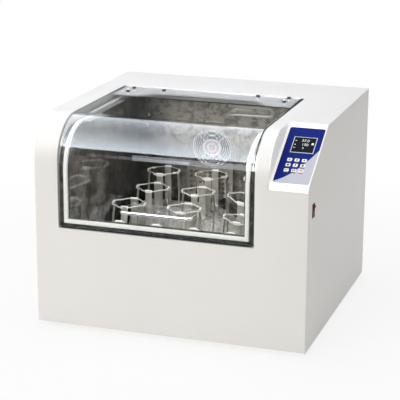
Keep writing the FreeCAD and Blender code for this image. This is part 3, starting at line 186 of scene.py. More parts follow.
def flat_card(name, place, aim, width, length, strength):
    bpy.ops.mesh.primitive_plane_add(size=1, location=place)
    sheet = bpy.context.object
    sheet.rotation_euler = (Vector(aim) - Vector(place)).to_track_quat("Z", "Y").to_euler()
    sheet.scale = (width, length, 1)
    bpy.ops.object.transform_apply(location=True, rotation=True, scale=True)
    card(sheet, name, strength)


def pick_faces(piece, wanted):
    """Selects only the wanted faces of a piece and stays in edit mode."""
    bpy.ops.object.mode_set(mode="EDIT")
    bpy.ops.mesh.select_mode(type="FACE")
    bpy.ops.mesh.select_all(action="DESELECT")
    bpy.ops.object.mode_set(mode="OBJECT")
    for face in piece.data.polygons:
        face.select = wanted(face)
    bpy.ops.object.mode_set(mode="EDIT")


curve_middle = (-0.195, 0.437)


def bent_card(radius, x, start, end):
    """A sheet bent about the middle of the lid's curve, between two angles from the rear."""
    bpy.ops.mesh.primitive_cylinder_add(
        vertices=360, radius=radius, depth=x[1] - x[0], end_fill_type="NOTHING",
        location=((x[0] + x[1]) / 2, *curve_middle), rotation=(0, math.pi / 2, 0))
    sheet = bpy.context.object
    bpy.ops.object.transform_apply(location=True, rotation=True, scale=True)

    def outside(face):
        turn = math.atan2(face.center.z - curve_middle[1], face.center.y - curve_middle[0])
        return not math.radians(start) < turn < math.radians(end)

    pick_faces(sheet, outside)
    bpy.ops.mesh.delete(type="FACE")
    bpy.ops.object.mode_set(mode="OBJECT")
    return sheet


card(bent_card(2.2, (-2.3, 0.7), 38, 147), "tent_card", 2.85, (0.83, 0.905, 1.0), 1.8)
card(bent_card(2.1, (-0.84, 0.7), 153, 167), "strip_card", 3.2, (0.85, 0.92, 1.0))
flat_card("rear_card", (-1.4, 3.2, 1.7), (-1.4, 0, 1.7), 7.0, 3.2, 0.06)
flat_card("low_card", (-0.6, -2.2, 0.02), (-0.6, -2.2, 1), 6.0, 3.3, 0.05)
flat_card("front_card", (-0.8, -2.88, 0.83), (-0.8, -1.27, -0.82), 6.0, 2.4, 0.05)


# Front and top cover: one steel sheet bent over the front curve, with the lid opening cut in it
# and its edge folded inwards. It is powder coated in a satin white with a fine orange peel, and
# the rounded fold catches the light.
def new_material(name, colour, rough, metal=0.0):
    material = bpy.data.materials.new(name)
    material.use_nodes = True
    shader = material.node_tree.nodes["Principled BSDF"]
    shader.inputs["Base Color"].default_value = (*colour, 1)
    shader.inputs["Roughness"].default_value = rough
    shader.inputs["Metallic"].default_value = metal
    return material, shader


def new_effect(name, inputs, output):
    """A node group on object coordinates, with numbers in and one value out."""
    group = bpy.data.node_groups.new(name, "ShaderNodeTree")
    for label, value in inputs.items():
        socket = group.interface.new_socket(label, in_out="INPUT", socket_type="NodeSocketFloat")
        socket.default_value = value
    group.interface.new_socket(output, in_out="OUTPUT", socket_type="NodeSocketFloat")
    return (group, group.nodes.new("NodeGroupInput"), group.nodes.new("NodeGroupOutput"),
            group.nodes.new("ShaderNodeTexCoord"))


def use_effect(material, group, **values):
    node = material.node_tree.nodes.new("ShaderNodeGroup")
    node.node_tree = group
    for label, value in values.items():
        node.inputs[label].default_value = value
    return node.outputs[0]


def spread(material, value, low, high):
    """A value from 0 to 1 spread between two numbers."""
    node = material.node_tree.nodes.new("ShaderNodeMapRange")
    node.inputs["To Min"].default_value = low
    node.inputs["To Max"].default_value = high
    material.node_tree.links.new(value, node.inputs["Value"])
    return node.outputs["Result"]


def tones(material, shader, value, first, second):
    """The base colour runs from one tone to another with a value from 0 to 1."""
    node = material.node_tree.nodes.new("ShaderNodeMix")
    node.data_type = "RGBA"
    node.inputs[6].default_value = (*first, 1)
    node.inputs[7].default_value = (*second, 1)
    material.node_tree.links.new(value, node.inputs[0])
    material.node_tree.links.new(node.outputs[2], shader.inputs["Base Color"])


def relief(material, shader, height, strength, depth):
    node = material.node_tree.nodes.new("ShaderNodeBump")
    node.inputs["Strength"].default_value = strength
    node.inputs["Distance"].default_value = depth
    material.node_tree.links.new(height, node.inputs["Height"])
    material.node_tree.links.new(node.outputs["Normal"], shader.inputs["Normal"])


grain, enter, leave, place = new_effect("fine_grain", {"Scale": 900.0, "Detail": 2.0}, "Height")
noise = grain.nodes.new("ShaderNodeTexNoise")
grain.links.new(place.outputs["Object"], noise.inputs["Vector"])
grain.links.new(enter.outputs["Scale"], noise.inputs["Scale"])
grain.links.new(enter.outputs["Detail"], noise.inputs["Detail"])
grain.links.new(noise.outputs[0], leave.inputs["Height"])

paint, shader = new_material("casing_paint", (0.875, 0.868, 0.852), 0.42)
shader.inputs["Specular IOR Level"].default_value = 0.3
peel = use_effect(paint, grain, Scale=520.0, Detail=1.5)
cloud = use_effect(paint, grain, Scale=6.0, Detail=3.0)
tones(paint, shader, cloud, (0.862, 0.855, 0.840), (0.888, 0.881, 0.866))
paint.node_tree.links.new(spread(paint, cloud, 0.38, 0.48), shader.inputs["Roughness"])
relief(paint, shader, peel, 0.06, 0.0004)

cover_low, cover_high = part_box("front_top_cover")
lid_low, lid_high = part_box("lid_sheet")
pin_low, pin_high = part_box("hinge_pin")
lid_gap = 0.0025
fold_round = 0.003
touch = 0.0002
curve = 0.115
curve_y, curve_z = cover_low.y + curve, cover_high.z - curve
hinge_y = (pin_low.y + pin_high.y) / 2
opening_rear = hinge_y + 0.0055


def alone(piece):
    """Selects one piece and nothing else."""
    bpy.ops.object.select_all(action="DESELECT")
    piece.select_set(True)
    bpy.context.view_layer.objects.active = piece


def smooth(piece, degrees=32):
    alone(piece)
    bpy.ops.object.shade_smooth_by_angle(angle=math.radians(degrees))


def paint_over(piece, material):
    piece.data.materials.clear()
    piece.data.materials.append(material)


def finish(piece, name, material, body, slot, *stands_for):
    """Names and paints a piece, seats it on its body and lets it stand for plain solids."""
    piece.name = name
    if material:
        paint_over(piece, material)
    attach(piece, body)
    if stands_for:
        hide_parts(*stands_for)


def twin(source, name):
    """A new piece with its own copy of the mesh."""
    piece = bpy.data.objects.new(name, source.data.copy())
    bpy.context.scene.collection.objects.link(piece)
    return piece


def copy_of_solid(node):
    """A clean copy of a solid's mesh, with its doubles merged and its flats made whole."""
    piece = twin(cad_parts[node], node + "_copy")
    alone(piece)
    bpy.ops.mesh.customdata_custom_splitnormals_clear()
    bpy.ops.object.mode_set(mode="EDIT")
    bpy.ops.mesh.select_all(action="SELECT")
    bpy.ops.mesh.remove_doubles(threshold=0.00002)
    bpy.ops.mesh.dissolve_limited(angle_limit=math.radians(0.4))
    bpy.ops.object.mode_set(mode="OBJECT")
    return piece


def round_edges(piece, wanted, width, segments=3):
    """Rounds only the edges whose two ends are both wanted."""
    alone(piece)
    bpy.ops.object.mode_set(mode="EDIT")
    bpy.ops.mesh.select_mode(type="EDGE")
    bpy.ops.mesh.select_all(action="DESELECT")
    bpy.ops.object.mode_set(mode="OBJECT")
    mesh = piece.data
    for edge in mesh.edges:
        edge.select = all(wanted(mesh.vertices[end].co) for end in edge.vertices)
    bpy.ops.object.mode_set(mode="EDIT")
    bpy.ops.mesh.bevel(offset=width, segments=segments, affect="EDGES")
    bpy.ops.object.mode_set(mode="OBJECT")


def on_outside(spot):
    """True where a point lies on the outer face of the cover."""
    if spot.y > curve_y:
        return abs(spot.z - cover_high.z) < touch
    if spot.z < curve_z:
        return abs(spot.y - cover_low.y) < touch
    return abs(math.hypot(spot.y - curve_y, spot.z - curve_z) - curve) < 2 * touch


def on_opening_edge(spot):
    near_side = min(abs(spot.x - lid_low.x + lid_gap), abs(spot.x - lid_high.x - lid_gap)) < touch
    near_low = abs(spot.z - lid_low.z + lid_gap) < touch
    near_rear = abs(spot.y - opening_rear) < 4 * touch
    inside = lid_low.x - 0.004 < spot.x < lid_high.x + 0.004
    return on_outside(spot) and inside and (near_side or near_low or near_rear)


cover = copy_of_solid("front_top_cover")
round_edges(cover, on_opening_edge, fold_round)
smooth(cover, 30)
finish(cover, "front_cover", paint, "root", "casing_paint", "front_top_cover")

# Side panels: flat steel sheets in the same powder coat, screwed to the cover and the base pan.
# A small radius all round their outer face gives the casing soft corners.
side_round = 0.0018
for node, sign in (("side_panel_left", -1), ("side_panel_right", 1)):
    side = copy_of_solid(node)
    side_low, side_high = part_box(node)
    outer_x = side_high.x if sign > 0 else side_low.x
    round_edges(side, lambda spot: abs(spot.x - outer_x) < touch, side_round, 4)
    smooth(side, 30)
    finish(side, node.replace("panel", "sheet"), paint, "root", "casing_paint", node)

# Rear panel and base pan: plain folded steel sheets in the same powder coat, which close the
# casing behind and below.
for node in ("rear_panel", "base_pan"):
    paint_over(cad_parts[node], paint)

# Rubber feet: four moulded feet of black rubber with rounded edges, each screwed through its
# middle to the base pan.
def modify(piece, kind, **settings):
    """Adds one modifier, sets it and applies it."""
    change = piece.modifiers.new(kind.lower(), kind)
    for label, value in settings.items():
        setattr(change, label, value)
    alone(piece)
    bpy.ops.object.modifier_apply(modifier=change.name)


def soften(piece, width, segments=3, degrees=35):
    """Rounds the sharp edges of a piece."""
    modify(piece, "BEVEL", width=width, segments=segments, limit_method="ANGLE",
           angle_limit=math.radians(degrees))
    smooth(piece)


def grained(name, colour, rough, metal, scale, strength, depth, specular=0.5, detail=2.0):
    """A plain finish with a fine grain of bumps."""
    material, shader = new_material(name, colour, rough, metal)
    shader.inputs["Specular IOR Level"].default_value = specular
    relief(material, shader, use_effect(material, grain, Scale=scale, Detail=detail), strength, depth)
    return material


rubber = grained("black_rubber", (0.035, 0.035, 0.036), 0.72, 0.0, 1400.0, 0.2, 0.0003)
feet = copy_of_solid("rubber_feet")
soften(feet, 0.0015)
finish(feet, "bench_feet", rubber, "root", "black_rubber", "rubber_feet")

# Chamber: a welded stainless box behind a flange that follows the lid. Its sheet is rolled and
# stained, and it mirrors the room; its left wall is polished. The dark and pale patches in its
# colour are partly stains and partly painted reflection of the room.
def deepen(material, shader, low, high, least, axis="Z"):
    """Darkens the base colour towards one end of an axis, as shade gathers there."""
    nodes, links = material.node_tree.nodes, material.node_tree.links
    span = nodes.new("ShaderNodeMapRange")
    span.interpolation_type = "SMOOTHSTEP"
    span.inputs["From Min"].default_value = low
    span.inputs["From Max"].default_value = high
    span.inputs["To Min"].default_value = least
    scaled = nodes.new("ShaderNodeVectorMath")
    scaled.operation = "SCALE"
    colour = shader.inputs["Base Color"].links[0].from_socket
    links.new(own_place(material.node_tree)[axis], span.inputs["Value"])
    links.new(colour, scaled.inputs[0])
    links.new(span.outputs["Result"], scaled.inputs["Scale"])
    links.new(scaled.outputs["Vector"], shader.inputs["Base Color"])


mottle, enter, leave, place = new_effect(
    "steel_mottle", {"Scale": 20.0, "Contrast": 3.0, "Middle": 0.5}, "Mask")
noise = mottle.nodes.new("ShaderNodeTexNoise")
noise.inputs["Detail"].default_value = 7.0
noise.inputs["Roughness"].default_value = 0.72
noise.inputs["Distortion"].default_value = 0.6
mottle.links.new(place.outputs["Object"], noise.inputs["Vector"])
mottle.links.new(enter.outputs["Scale"], noise.inputs["Scale"])
shift = math_node(mottle, "SUBTRACT", noise.outputs[0], enter.outputs["Middle"])
gain = math_node(mottle, "MULTIPLY", shift, enter.outputs["Contrast"])
lift = math_node(mottle, "ADD", gain, 0.5)
lift.node.use_clamp = True
mottle.links.new(lift, leave.inputs["Mask"])

streaks, enter, leave, place = new_effect(
    "rolled_streaks", {"Along X": 1.0, "Along Y": 1.0, "Along Z": 1.0}, "Grain")
stretch = streaks.nodes.new("ShaderNodeCombineXYZ")
scaled = streaks.nodes.new("ShaderNodeVectorMath")
scaled.operation = "MULTIPLY"
noise = streaks.nodes.new("ShaderNodeTexNoise")
noise.inputs["Scale"].default_value = 1.0
noise.inputs["Detail"].default_value = 4.0
for label, axis in (("Along X", "X"), ("Along Y", "Y"), ("Along Z", "Z")):
    streaks.links.new(enter.outputs[label], stretch.inputs[axis])
streaks.links.new(place.outputs["Object"], scaled.inputs[0])
streaks.links.new(stretch.outputs[0], scaled.inputs[1])
streaks.links.new(scaled.outputs[0], noise.inputs["Vector"])
streaks.links.new(noise.outputs[0], leave.inputs["Grain"])

stainless, shader = new_material("stainless", (0.5, 0.48, 0.45), 0.3, 0.45)
# Patches from near black to pale beige in the base colour: partly stains, partly painted reflection.
patches = use_effect(stainless, mottle, Scale=42.0, Contrast=6.0, Middle=0.45)
tones(stainless, shader, patches, (0.17, 0.148, 0.115), (0.99, 0.94, 0.84))
# Painted shade: the colour darkens towards the bottom and towards the left wall.
deepen(stainless, shader, 0.33, 0.44, 0.25)
deepen(stainless, shader, -0.268, -0.15, 0.21, "X")
stainless.node_tree.links.new(spread(stainless, patches, 0.30, 0.14), shader.inputs["Roughness"])
relief(stainless, shader, patches, 0.10, 0.0006)
# Painted reflection: the flange's near-black colour stands in for the dark room that its stainless
# steel mirrors.
flange_steel, shader = new_material("flange_steel", (0.1, 0.1, 0.1), 0.5, 0.4)
shader.inputs["Specular IOR Level"].default_value = 0.1
long_lines = use_effect(flange_steel, streaks, **{"Along X": 70.0, "Along Y": 160.0, "Along Z": 160.0})
smear = use_effect(flange_steel, mottle, Scale=60.0, Contrast=3.6, Middle=0.5)
tones(flange_steel, shader, smear, (0.035, 0.034, 0.032), (0.20, 0.19, 0.175))
relief(flange_steel, shader, long_lines, 0.25, 0.0006)
liner = copy_of_solid("chamber_liner")
smooth(liner, 30)
finish(liner, "steel_chamber", stainless, "root", "stainless", "chamber_liner")
liner.data.materials.append(flange_steel)
polished, shader = new_material("polished_wall", (0.4, 0.38, 0.35), 0.07, 0.85)
clouds = use_effect(polished, mottle, Scale=28.0, Contrast=4.0, Middle=0.5)
tones(polished, shader, clouds, (0.16, 0.15, 0.135), (0.52, 0.50, 0.46))
relief(polished, shader, clouds, 0.05, 0.0005)
liner.data.materials.append(polished)
gasket_low, gasket_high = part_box("opening_gasket")
flange_deep = 0.0153
flange_level = 0.514
for face in liner.data.polygons:
    spot, way = face.center, face.normal
    in_front = way.y < -0.3 or way.z > 0.3
    on_curve = (spot.y < curve_y and spot.z > curve_z
                and math.hypot(spot.y - curve_y, spot.z - curve_z) > curve - flange_deep - 0.004)
    outside = spot.y < cover_low.y + flange_deep or spot.z > flange_level or on_curve
    if in_front and outside and abs(way.x) < 0.5 and spot.z > gasket_low.z - 0.02:
        face.material_index = 1
    elif way.x > 0.9 and spot.x < gasket_low.x + 0.02:
        face.material_index = 2


def block(x, y, z):
    """A plain block between two places on each axis."""
    bpy.ops.mesh.primitive_cube_add(
        size=1, location=((x[0] + x[1]) / 2, (y[0] + y[1]) / 2, (z[0] + z[1]) / 2))
    piece = bpy.context.object
    piece.scale = (x[1] - x[0], y[1] - y[0], z[1] - z[0])
    bpy.ops.object.transform_apply(location=True, rotation=True, scale=True)
    return piece


lip_wide, lip_thick = 0.013, 0.0012
lip_left = gasket_low.x + 0.0152
lip_rear = gasket_high.y - 0.016
lip_foot = gasket_high.z - lip_thick * 3.5
lip = block((lip_left, lip_left + lip_wide), (curve_y, lip_rear), (lip_foot, lip_foot + lip_thick))
lip_steel, shader = new_material("lip_steel", (0.36, 0.35, 0.33), 0.4, 0.5)
worn = use_effect(lip_steel, mottle, Scale=50.0, Contrast=2.6, Middle=0.5)
tones(lip_steel, shader, worn, (0.24, 0.23, 0.21), (0.46, 0.45, 0.43))
finish(lip, "side_lip", lip_steel, "root", "stainless")

# Insulation: yellow mineral wool, cut into boards and packed between the chamber and the
# casing.
wool, shader = new_material("mineral_wool", (0.62, 0.55, 0.32), 0.95)
fibres = use_effect(wool, grain, Scale=260.0, Detail=6.0)
tones(wool, shader, fibres, (0.46, 0.40, 0.22), (0.74, 0.68, 0.44))
relief(wool, shader, fibres, 0.7, 0.003)
paint_over(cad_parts["chamber_insulation"], wool)

# Opening gasket: a smooth white frame of moulded silicone with rounded edges, glued to the
# flange all round the window.
silicone = grained("white_silicone", (0.79, 0.785, 0.77), 0.5, 0.0, 380.0, 0.05, 0.0004, 0.2)
gasket = copy_of_solid("opening_gasket")
soften(gasket, 0.0022, 3, 40)
finish(gasket, "window_gasket", silicone, "root", "white_silicone", "opening_gasket")

# Fan guard: five wire rings on four spokes round a dished white cap, screwed over the fan
# opening in the back wall.
def joined(parts):
    """Makes one mesh of several, with its place in the mesh."""
    bpy.ops.object.select_all(action="DESELECT")
    for part in parts:
        part.select_set(True)
    bpy.context.view_layer.objects.active = parts[0]
    if len(parts) > 1:
        bpy.ops.object.join()
    piece = bpy.context.object
    bpy.ops.object.transform_apply(location=True, rotation=True, scale=True)
    return piece


guard_low, guard_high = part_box("fan_guard")
guard_middle = (guard_low + guard_high) / 2
guard_radius = (guard_high.x - guard_low.x) / 2
cap_radius, cap_thick = 0.0295, 0.0024
guard_rings = 5
wire_radius = 0.0010
first_ring = 0.0335
spoke_overlap = 0.004
wire_steel = grained("guard_wire", (0.94, 0.95, 0.98), 0.35, 0.1, 700.0, 0.05, 0.0002)
rings = []
for number in range(guard_rings):
    ring = first_ring + (guard_radius - wire_radius - first_ring) * number / (guard_rings - 1)
    bpy.ops.mesh.primitive_torus_add(
        major_radius=ring, minor_radius=wire_radius, major_segments=64, minor_segments=8,
        location=guard_middle, rotation=(math.pi / 2, 0, 0))
    rings.append(bpy.context.object)
for number in range(4):
    bpy.ops.mesh.primitive_cylinder_add(
        vertices=8, radius=wire_radius, depth=guard_radius - cap_radius + spoke_overlap,
        location=guard_middle)
    spoke = bpy.context.object
    turn = math.radians(45 + 90 * number)
    reach = (guard_radius + cap_radius) / 2
    spoke.rotation_euler = (0, turn, 0)
    spoke.location += Vector((math.sin(turn) * reach, -wire_radius, math.cos(turn) * reach))
    rings.append(spoke)
guard = joined(rings)
smooth(guard, 50)
finish(guard, "guard_rings", wire_steel, "root", "wire_steel", "fan_guard")

cap_white, shader = new_material("fan_cap_white", (0.5, 0.48, 0.49), 0.4)
tree = cap_white.node_tree
place = tree.nodes.new("ShaderNodeTexCoord")
centred = tree.nodes.new("ShaderNodeVectorMath")
centred.operation = "SUBTRACT"
centred.inputs[1].default_value = guard_middle
circles = tree.nodes.new("ShaderNodeTexWave")
circles.wave_type = "RINGS"
circles.rings_direction = "Y"
circles.inputs["Scale"].default_value = 26.0
circles.inputs["Distortion"].default_value = 0.4
tree.links.new(place.outputs["Object"], centred.inputs[0])
tree.links.new(centred.outputs[0], circles.inputs["Vector"])
tones(cap_white, shader, circles.outputs[1], (0.74, 0.72, 0.73), (0.50, 0.34, 0.38))
relief(cap_white, shader, use_effect(cap_white, grain, Scale=420.0, Detail=2.0), 0.05, 0.0003)
bpy.ops.mesh.primitive_cylinder_add(
    vertices=64, radius=cap_radius, depth=cap_thick, location=guard_middle,
    rotation=(math.pi / 2, 0, 0))
cap = bpy.context.object
bpy.ops.object.transform_apply(location=True, rotation=True, scale=True)
pick_faces(cap, lambda face: face.normal.y < -0.9)
for inset, rise in ((0.002, -0.0006), (0.006, 0.0), (0.0015, 0.0008), (0.005, 0.0), (0.0015, -0.0008)):
    bpy.ops.mesh.inset(thickness=inset)
    bpy.ops.transform.translate(value=(0, rise, 0))
bpy.ops.object.mode_set(mode="OBJECT")
smooth(cap, 25)
finish(cap, "guard_cap", cap_white, "root", "wire_steel")

# Fan wheel and motors: a wheel of dark moulded blades on the shaft of a black motor behind the
# wall. The drive has a black motor too, with a toothed pulley of turned aluminium.
aluminium, shader = new_material("aluminium_plain", (0.66, 0.66, 0.67), 0.34, 1.0)
turned = use_effect(aluminium, streaks, **{"Along X": 60.0, "Along Y": 60.0, "Along Z": 1600.0})
aluminium.node_tree.links.new(spread(aluminium, turned, 0.26, 0.44), shader.inputs["Roughness"])
relief(aluminium, shader, turned, 0.08, 0.0003)
motor_black = grained("motor_black", (0.045, 0.045, 0.05), 0.42, 0.0, 650.0, 0.1, 0.0004)
dark_blades = grained("dark_blades", (0.012, 0.014, 0.02), 0.5, 0.2, 700.0, 0.08, 0.0003)
paint_over(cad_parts["fan_wheel"], dark_blades)
paint_over(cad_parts["motor_pulley"], aluminium)
for node in ("fan_motor", "drive_motor"):
    paint_over(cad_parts[node], motor_black)

# Heater: a sheathed steel tube, bent into a hairpin and fixed to the back wall. Heat has
# dulled it to a pale satin.
def mottled(name, colour, rough, metal, patches, dark, light, grain_scale, strength, depth=0.0002):
    """A metal with patches between two tones, of a scale and contrast, under a fine grain."""
    material, shader = new_material(name, colour, rough, metal)
    stains = use_effect(material, mottle, Scale=patches[0], Contrast=patches[1], Middle=0.5)
    tones(material, shader, stains, dark, light)
    relief(material, shader, use_effect(material, grain, Scale=grain_scale), strength, depth)
    return material


heater_steel = mottled("heater_steel", (0.80, 0.79, 0.76), 0.36, 1.0, (60.0, 2.0),
                       (0.70, 0.67, 0.62), (0.88, 0.88, 0.87), 800.0, 0.05)
heater = copy_of_solid("heater_tube")
smooth(heater, 40)
finish(heater, "heater_hairpin", heater_steel, "root", "heater_steel", "heater_tube")

# Temperature sensor: a slim probe of polished steel, held in the chamber's wall by a clamp
# nut.
probe_steel = grained("probe_steel", (0.68, 0.68, 0.67), 0.25, 1.0, 900.0, 0.05, 0.0002)
sensor = copy_of_solid("temperature_sensor")
soften(sensor, 0.0006, 2)
finish(sensor, "air_probe", probe_steel, "root", "stainless", "temperature_sensor")

# Perforated air outlet: a stainless cover, punched with rows of round holes and folded at its
# edges, over the duct in the back wall.
punched = mottled("punched_steel", (0.62, 0.62, 0.62), 0.26, 0.7, (35.0, 2.4),
                  (0.34, 0.30, 0.26), (0.72, 0.67, 0.61), 600.0, 0.05)
outlet = copy_of_solid("perforated_outlet")
smooth(outlet, 30)
finish(outlet, "punched_outlet", punched, "root", "stainless", "perforated_outlet")

# Back wall fittings: a narrow rail of brushed steel with a dark slot over its left end, and a
# folded ledge over a dark trough under the outlet.
wall_y = guard_high.y
chamber_left = gasket_low.x + 0.013


def wall_bar(x, z, deep, edge):
    """A bar on the back wall, with rounded edges."""
    bar = block(x, (wall_y - deep, wall_y), z)
    soften(bar, edge, 2)
    return bar


rail_steel, shader = new_material("rail_steel", (0.56, 0.57, 0.60), 0.38, 0.7)
brush = use_effect(rail_steel, streaks, **{"Along X": 40.0, "Along Y": 900.0, "Along Z": 900.0})
tones(rail_steel, shader, brush, (0.46, 0.47, 0.50), (0.70, 0.71, 0.73))
relief(rail_steel, shader, brush, 0.08, 0.0003)
finish(wall_bar((chamber_left, -0.118), (0.327, 0.335), 0.006, 0.0012), "wall_rail",
       rail_steel, "root", "stainless")
finish(wall_bar((-0.100, 0.010), (0.217, 0.220), 0.008, 0.0008), "outlet_ledge",
       rail_steel, "root", "stainless")
slot_black = grained("slot_black", (0.012, 0.011, 0.011), 0.7, 0.0, 300.0, 0.1, 0.0004)
finish(wall_bar((chamber_left + 0.002, -0.243), (0.336, 0.350), 0.002, 0.0004), "wall_slot",
       slot_black, "root", "stainless")
finish(wall_bar((-0.098, 0.008), (0.203, 0.217), 0.003, 0.0004), "trough_mouth",
       slot_black, "root", "stainless")

# Orbital drive: a zinc-plated bed of folded steel carries cast bearing housings with plated
# cranks. A toothed rubber belt turns the first crank, and a cast spider rides on all four.
plated = mottled("zinc_plate", (0.42, 0.43, 0.44), 0.4, 0.85, (90.0, 2.0),
                 (0.34, 0.35, 0.37), (0.50, 0.51, 0.51), 500.0, 0.05, 0.0003)
cast = grained("cast_grey", (0.42, 0.42, 0.42), 0.55, 0.6, 420.0, 0.35, 0.0006, detail=4.0)
for node in ("drive_bed", "main_crank", "idler_1_crank", "idler_2_crank", "idler_3_crank"):
    paint_over(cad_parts[node], plated)
for node in ("bearing_housings", "platform_spider"):
    paint_over(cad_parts[node], cast)
paint_over(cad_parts["drive_belt"], rubber)

# Platform tray: a folded plate of blasted steel with a worn, granular surface, screwed to the
# spider.
tray_steel, shader = new_material("tray_steel", (0.5, 0.49, 0.47), 0.42, 0.45)
worn = use_effect(tray_steel, mottle, Scale=85.0, Contrast=4.2, Middle=0.5)
tones(tray_steel, shader, worn, (0.42, 0.395, 0.365), (0.98, 0.96, 0.92))
tray_steel.node_tree.links.new(spread(tray_steel, worn, 0.5, 0.3), shader.inputs["Roughness"])
relief(tray_steel, shader, use_effect(tray_steel, grain, Scale=500.0, Detail=3.0), 0.25, 0.0005)
tray = copy_of_solid("platform_tray")
soften(tray, 0.0012)
finish(tray, "shaker_tray", tray_steel, "platform", "tray_steel", "platform_tray")


# Spring clamps: a cross of strip steel bent up into four fingers, screwed to the tray. The end
# of each finger is a plate folded round a spring wire, which runs from finger to finger.
def bent_strip(route, width, thick):
    """A strip whose side view follows the route of X and Z places, centred on Y."""
    bpy.ops.curve.primitive_nurbs_path_add(rotation=(math.pi / 2, 0, 0))
    strip = bpy.context.object
    line = strip.data.splines[0]
    line.points.add(len(route) - len(line.points))
    for point, (x, z) in zip(line.points, route):
        point.co = (x, z, 0, 1)
    line.order_u = 3
    line.use_endpoint_u = True
    strip.data.dimensions = "2D"
    strip.data.resolution_u = 3
    strip.data.extrude = width / 2
    bpy.ops.object.convert(target="MESH")
    bpy.ops.object.transform_apply(location=True, rotation=True, scale=True)
    modify(strip, "SOLIDIFY", thickness=thick, offset=0)
    soften(strip, thick * 0.3, 2)
    return strip


def bent_wire(route, radius):
    """A round wire along a smooth line near its route."""
    bpy.ops.curve.primitive_nurbs_path_add()
    wire = bpy.context.object
    line = wire.data.splines[0]
    line.points.add(len(route) - len(line.points))
    for point, spot in zip(line.points, route):
        point.co = (*spot, 1)
    line.order_u = 3
    line.use_endpoint_u = True
    wire.data.resolution_u = 4
    wire.data.bevel_depth = radius
    wire.data.bevel_resolution = 2
    wire.data.use_fill_caps = True
    bpy.ops.object.convert(target="MESH")
    smooth(wire, 60)
    return wire


strip_wide, strip_thick = 0.018, 0.0012
plate_thick = 0.0042
plate_high = 0.0078
plate_long = 0.019
plate_inset = 0.0004
spring_radius = 0.0014


def spring_clamp(ring, rise):
    """One clamp about the origin, of a given ring radius and height."""
    wall = ring - 0.003
    top = rise - 0.0045
    route = [(0, 0.0008), (wall * 0.6, 0.0008), (wall - 0.004, 0.0008), (wall + 0.001, 0.002),
             (wall + 0.0015, rise * 0.3), (wall + 0.001, rise * 0.6), (wall - 0.002, top - 0.006),
             (wall - 0.0015, top)]
    parts = []
    for number in range(4):
        turn = Matrix.Rotation(math.pi / 2 * number, 4, "Z")
        finger = bent_strip(route, strip_wide, strip_thick)
        plate = block((ring - plate_thick - plate_inset, ring - plate_inset),
                      (-plate_long / 2, plate_long / 2),
                      (rise - plate_high - plate_inset, rise - plate_inset))
        soften(plate, 0.0012, 3, 50)
        start = Vector((ring - plate_thick / 2 - plate_inset, plate_long / 2 - 0.002,
                        rise - plate_high / 2))
        end = Vector((start.y, start.x, start.z))
        out = Vector((1, 1, 0)).normalized()
        bow = ring * 0.06
        route_wire = [start, start + Vector((0, 0.008, 0)),
                      start.lerp(end, 0.35) + out * bow, start.lerp(end, 0.65) + out * bow,
                      end + Vector((0.008, 0, 0)), end]
        wire = bent_wire(route_wire, spring_radius)
        for part, coat in ((finger, strip_steel), (plate, plate_white), (wire, spring_steel)):
            paint_over(part, coat)
            part.data.transform(turn)
            parts.append(part)
    return joined(parts)


spring_steel = mottled("spring_steel", (0.9, 0.88, 0.83), 0.30, 0.35, (70.0, 1.6),
                       (0.80, 0.77, 0.70), (0.95, 0.94, 0.90), 900.0, 0.06)
plate_white = grained("clamp_plate", (0.93, 0.93, 0.90), 0.3, 0.15, 700.0, 0.05, 0.0002)
strip_steel = mottled("strip_steel", (0.6, 0.57, 0.5), 0.4, 0.5, (55.0, 1.8),
                      (0.30, 0.28, 0.235), (0.58, 0.55, 0.49), 700.0, 0.08)
clamp_rows = (("small", (1, 2, 3, 4), 0.031, 9), ("large", (1, 2, 3), 0.046, 4),
              ("large", (4, 5, 6), 0.046, 4), ("large", (7, 8, 9), 0.046, 4))
for kind, numbers, ring, turn in clamp_rows:
    low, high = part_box(f"{kind}_clamp_{numbers[0]}")
    master = spring_clamp(ring, high.z - low.z)
    for number in numbers:
        node = f"{kind}_clamp_{number}"
        low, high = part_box(node)
        middle = (low + high) / 2
        clamp = twin(master, node + "_spring")
        clamp.data.transform(Matrix.Translation((middle.x, middle.y, low.z))
                             @ Matrix.Rotation(math.radians(turn), 4, "Z"))
        finish(clamp, node + "_spring", None, "platform", "spring_steel", node)
    bpy.data.objects.remove(master)

# Lid: one clear acrylic sheet, bent warm over the same curve as the casing, with polished faces,
# sawn edges and small rounded corners at the bottom. The sawn edges and their chamfers are
# coloured blue-black, which is painted shade for the dark line round its rim.
acrylic, shader = new_material("clear_acrylic", (0.8, 0.8, 0.8), 0.0)
tree = acrylic.node_tree
tones(acrylic, shader, use_effect(acrylic, grain, Scale=4.0, Detail=2.0),
      (0.974, 0.977, 0.971), (0.976, 0.979, 0.973))
shader.inputs["IOR"].default_value = 1.46
shader.inputs["Transmission Weight"].default_value = 1.0
rays = tree.nodes.new("ShaderNodeLightPath")
clear = tree.nodes.new("ShaderNodeBsdfTransparent")
clear.inputs["Color"].default_value = (0.86, 0.88, 0.89, 1)
blend_to(tree.nodes["Material Output"], tree, rays.outputs["Is Shadow Ray"], shader.outputs[0],
         clear.outputs[0])
# Painted shade: the blue-black colour of the lid's edges and chamfers.
lid_edge_shade = grained("lid_edge_painted_shade", (0.020, 0.026, 0.033), 0.4, 0.0, 900.0, 0.1, 0.0002)

corner_round = 0.006
edge_bevel = 0.0014
lid = copy_of_solid("lid_sheet")
round_edges(lid, lambda spot: spot.z < lid_low.z + touch
            and min(spot.x - lid_low.x, lid_high.x - spot.x) < touch, corner_round, 5)


def on_lid_edge(spot):
    near_side = min(spot.x - lid_low.x, lid_high.x - spot.x) < corner_round + touch
    return on_outside(spot) and (near_side or spot.z < lid_low.z + corner_round + touch)


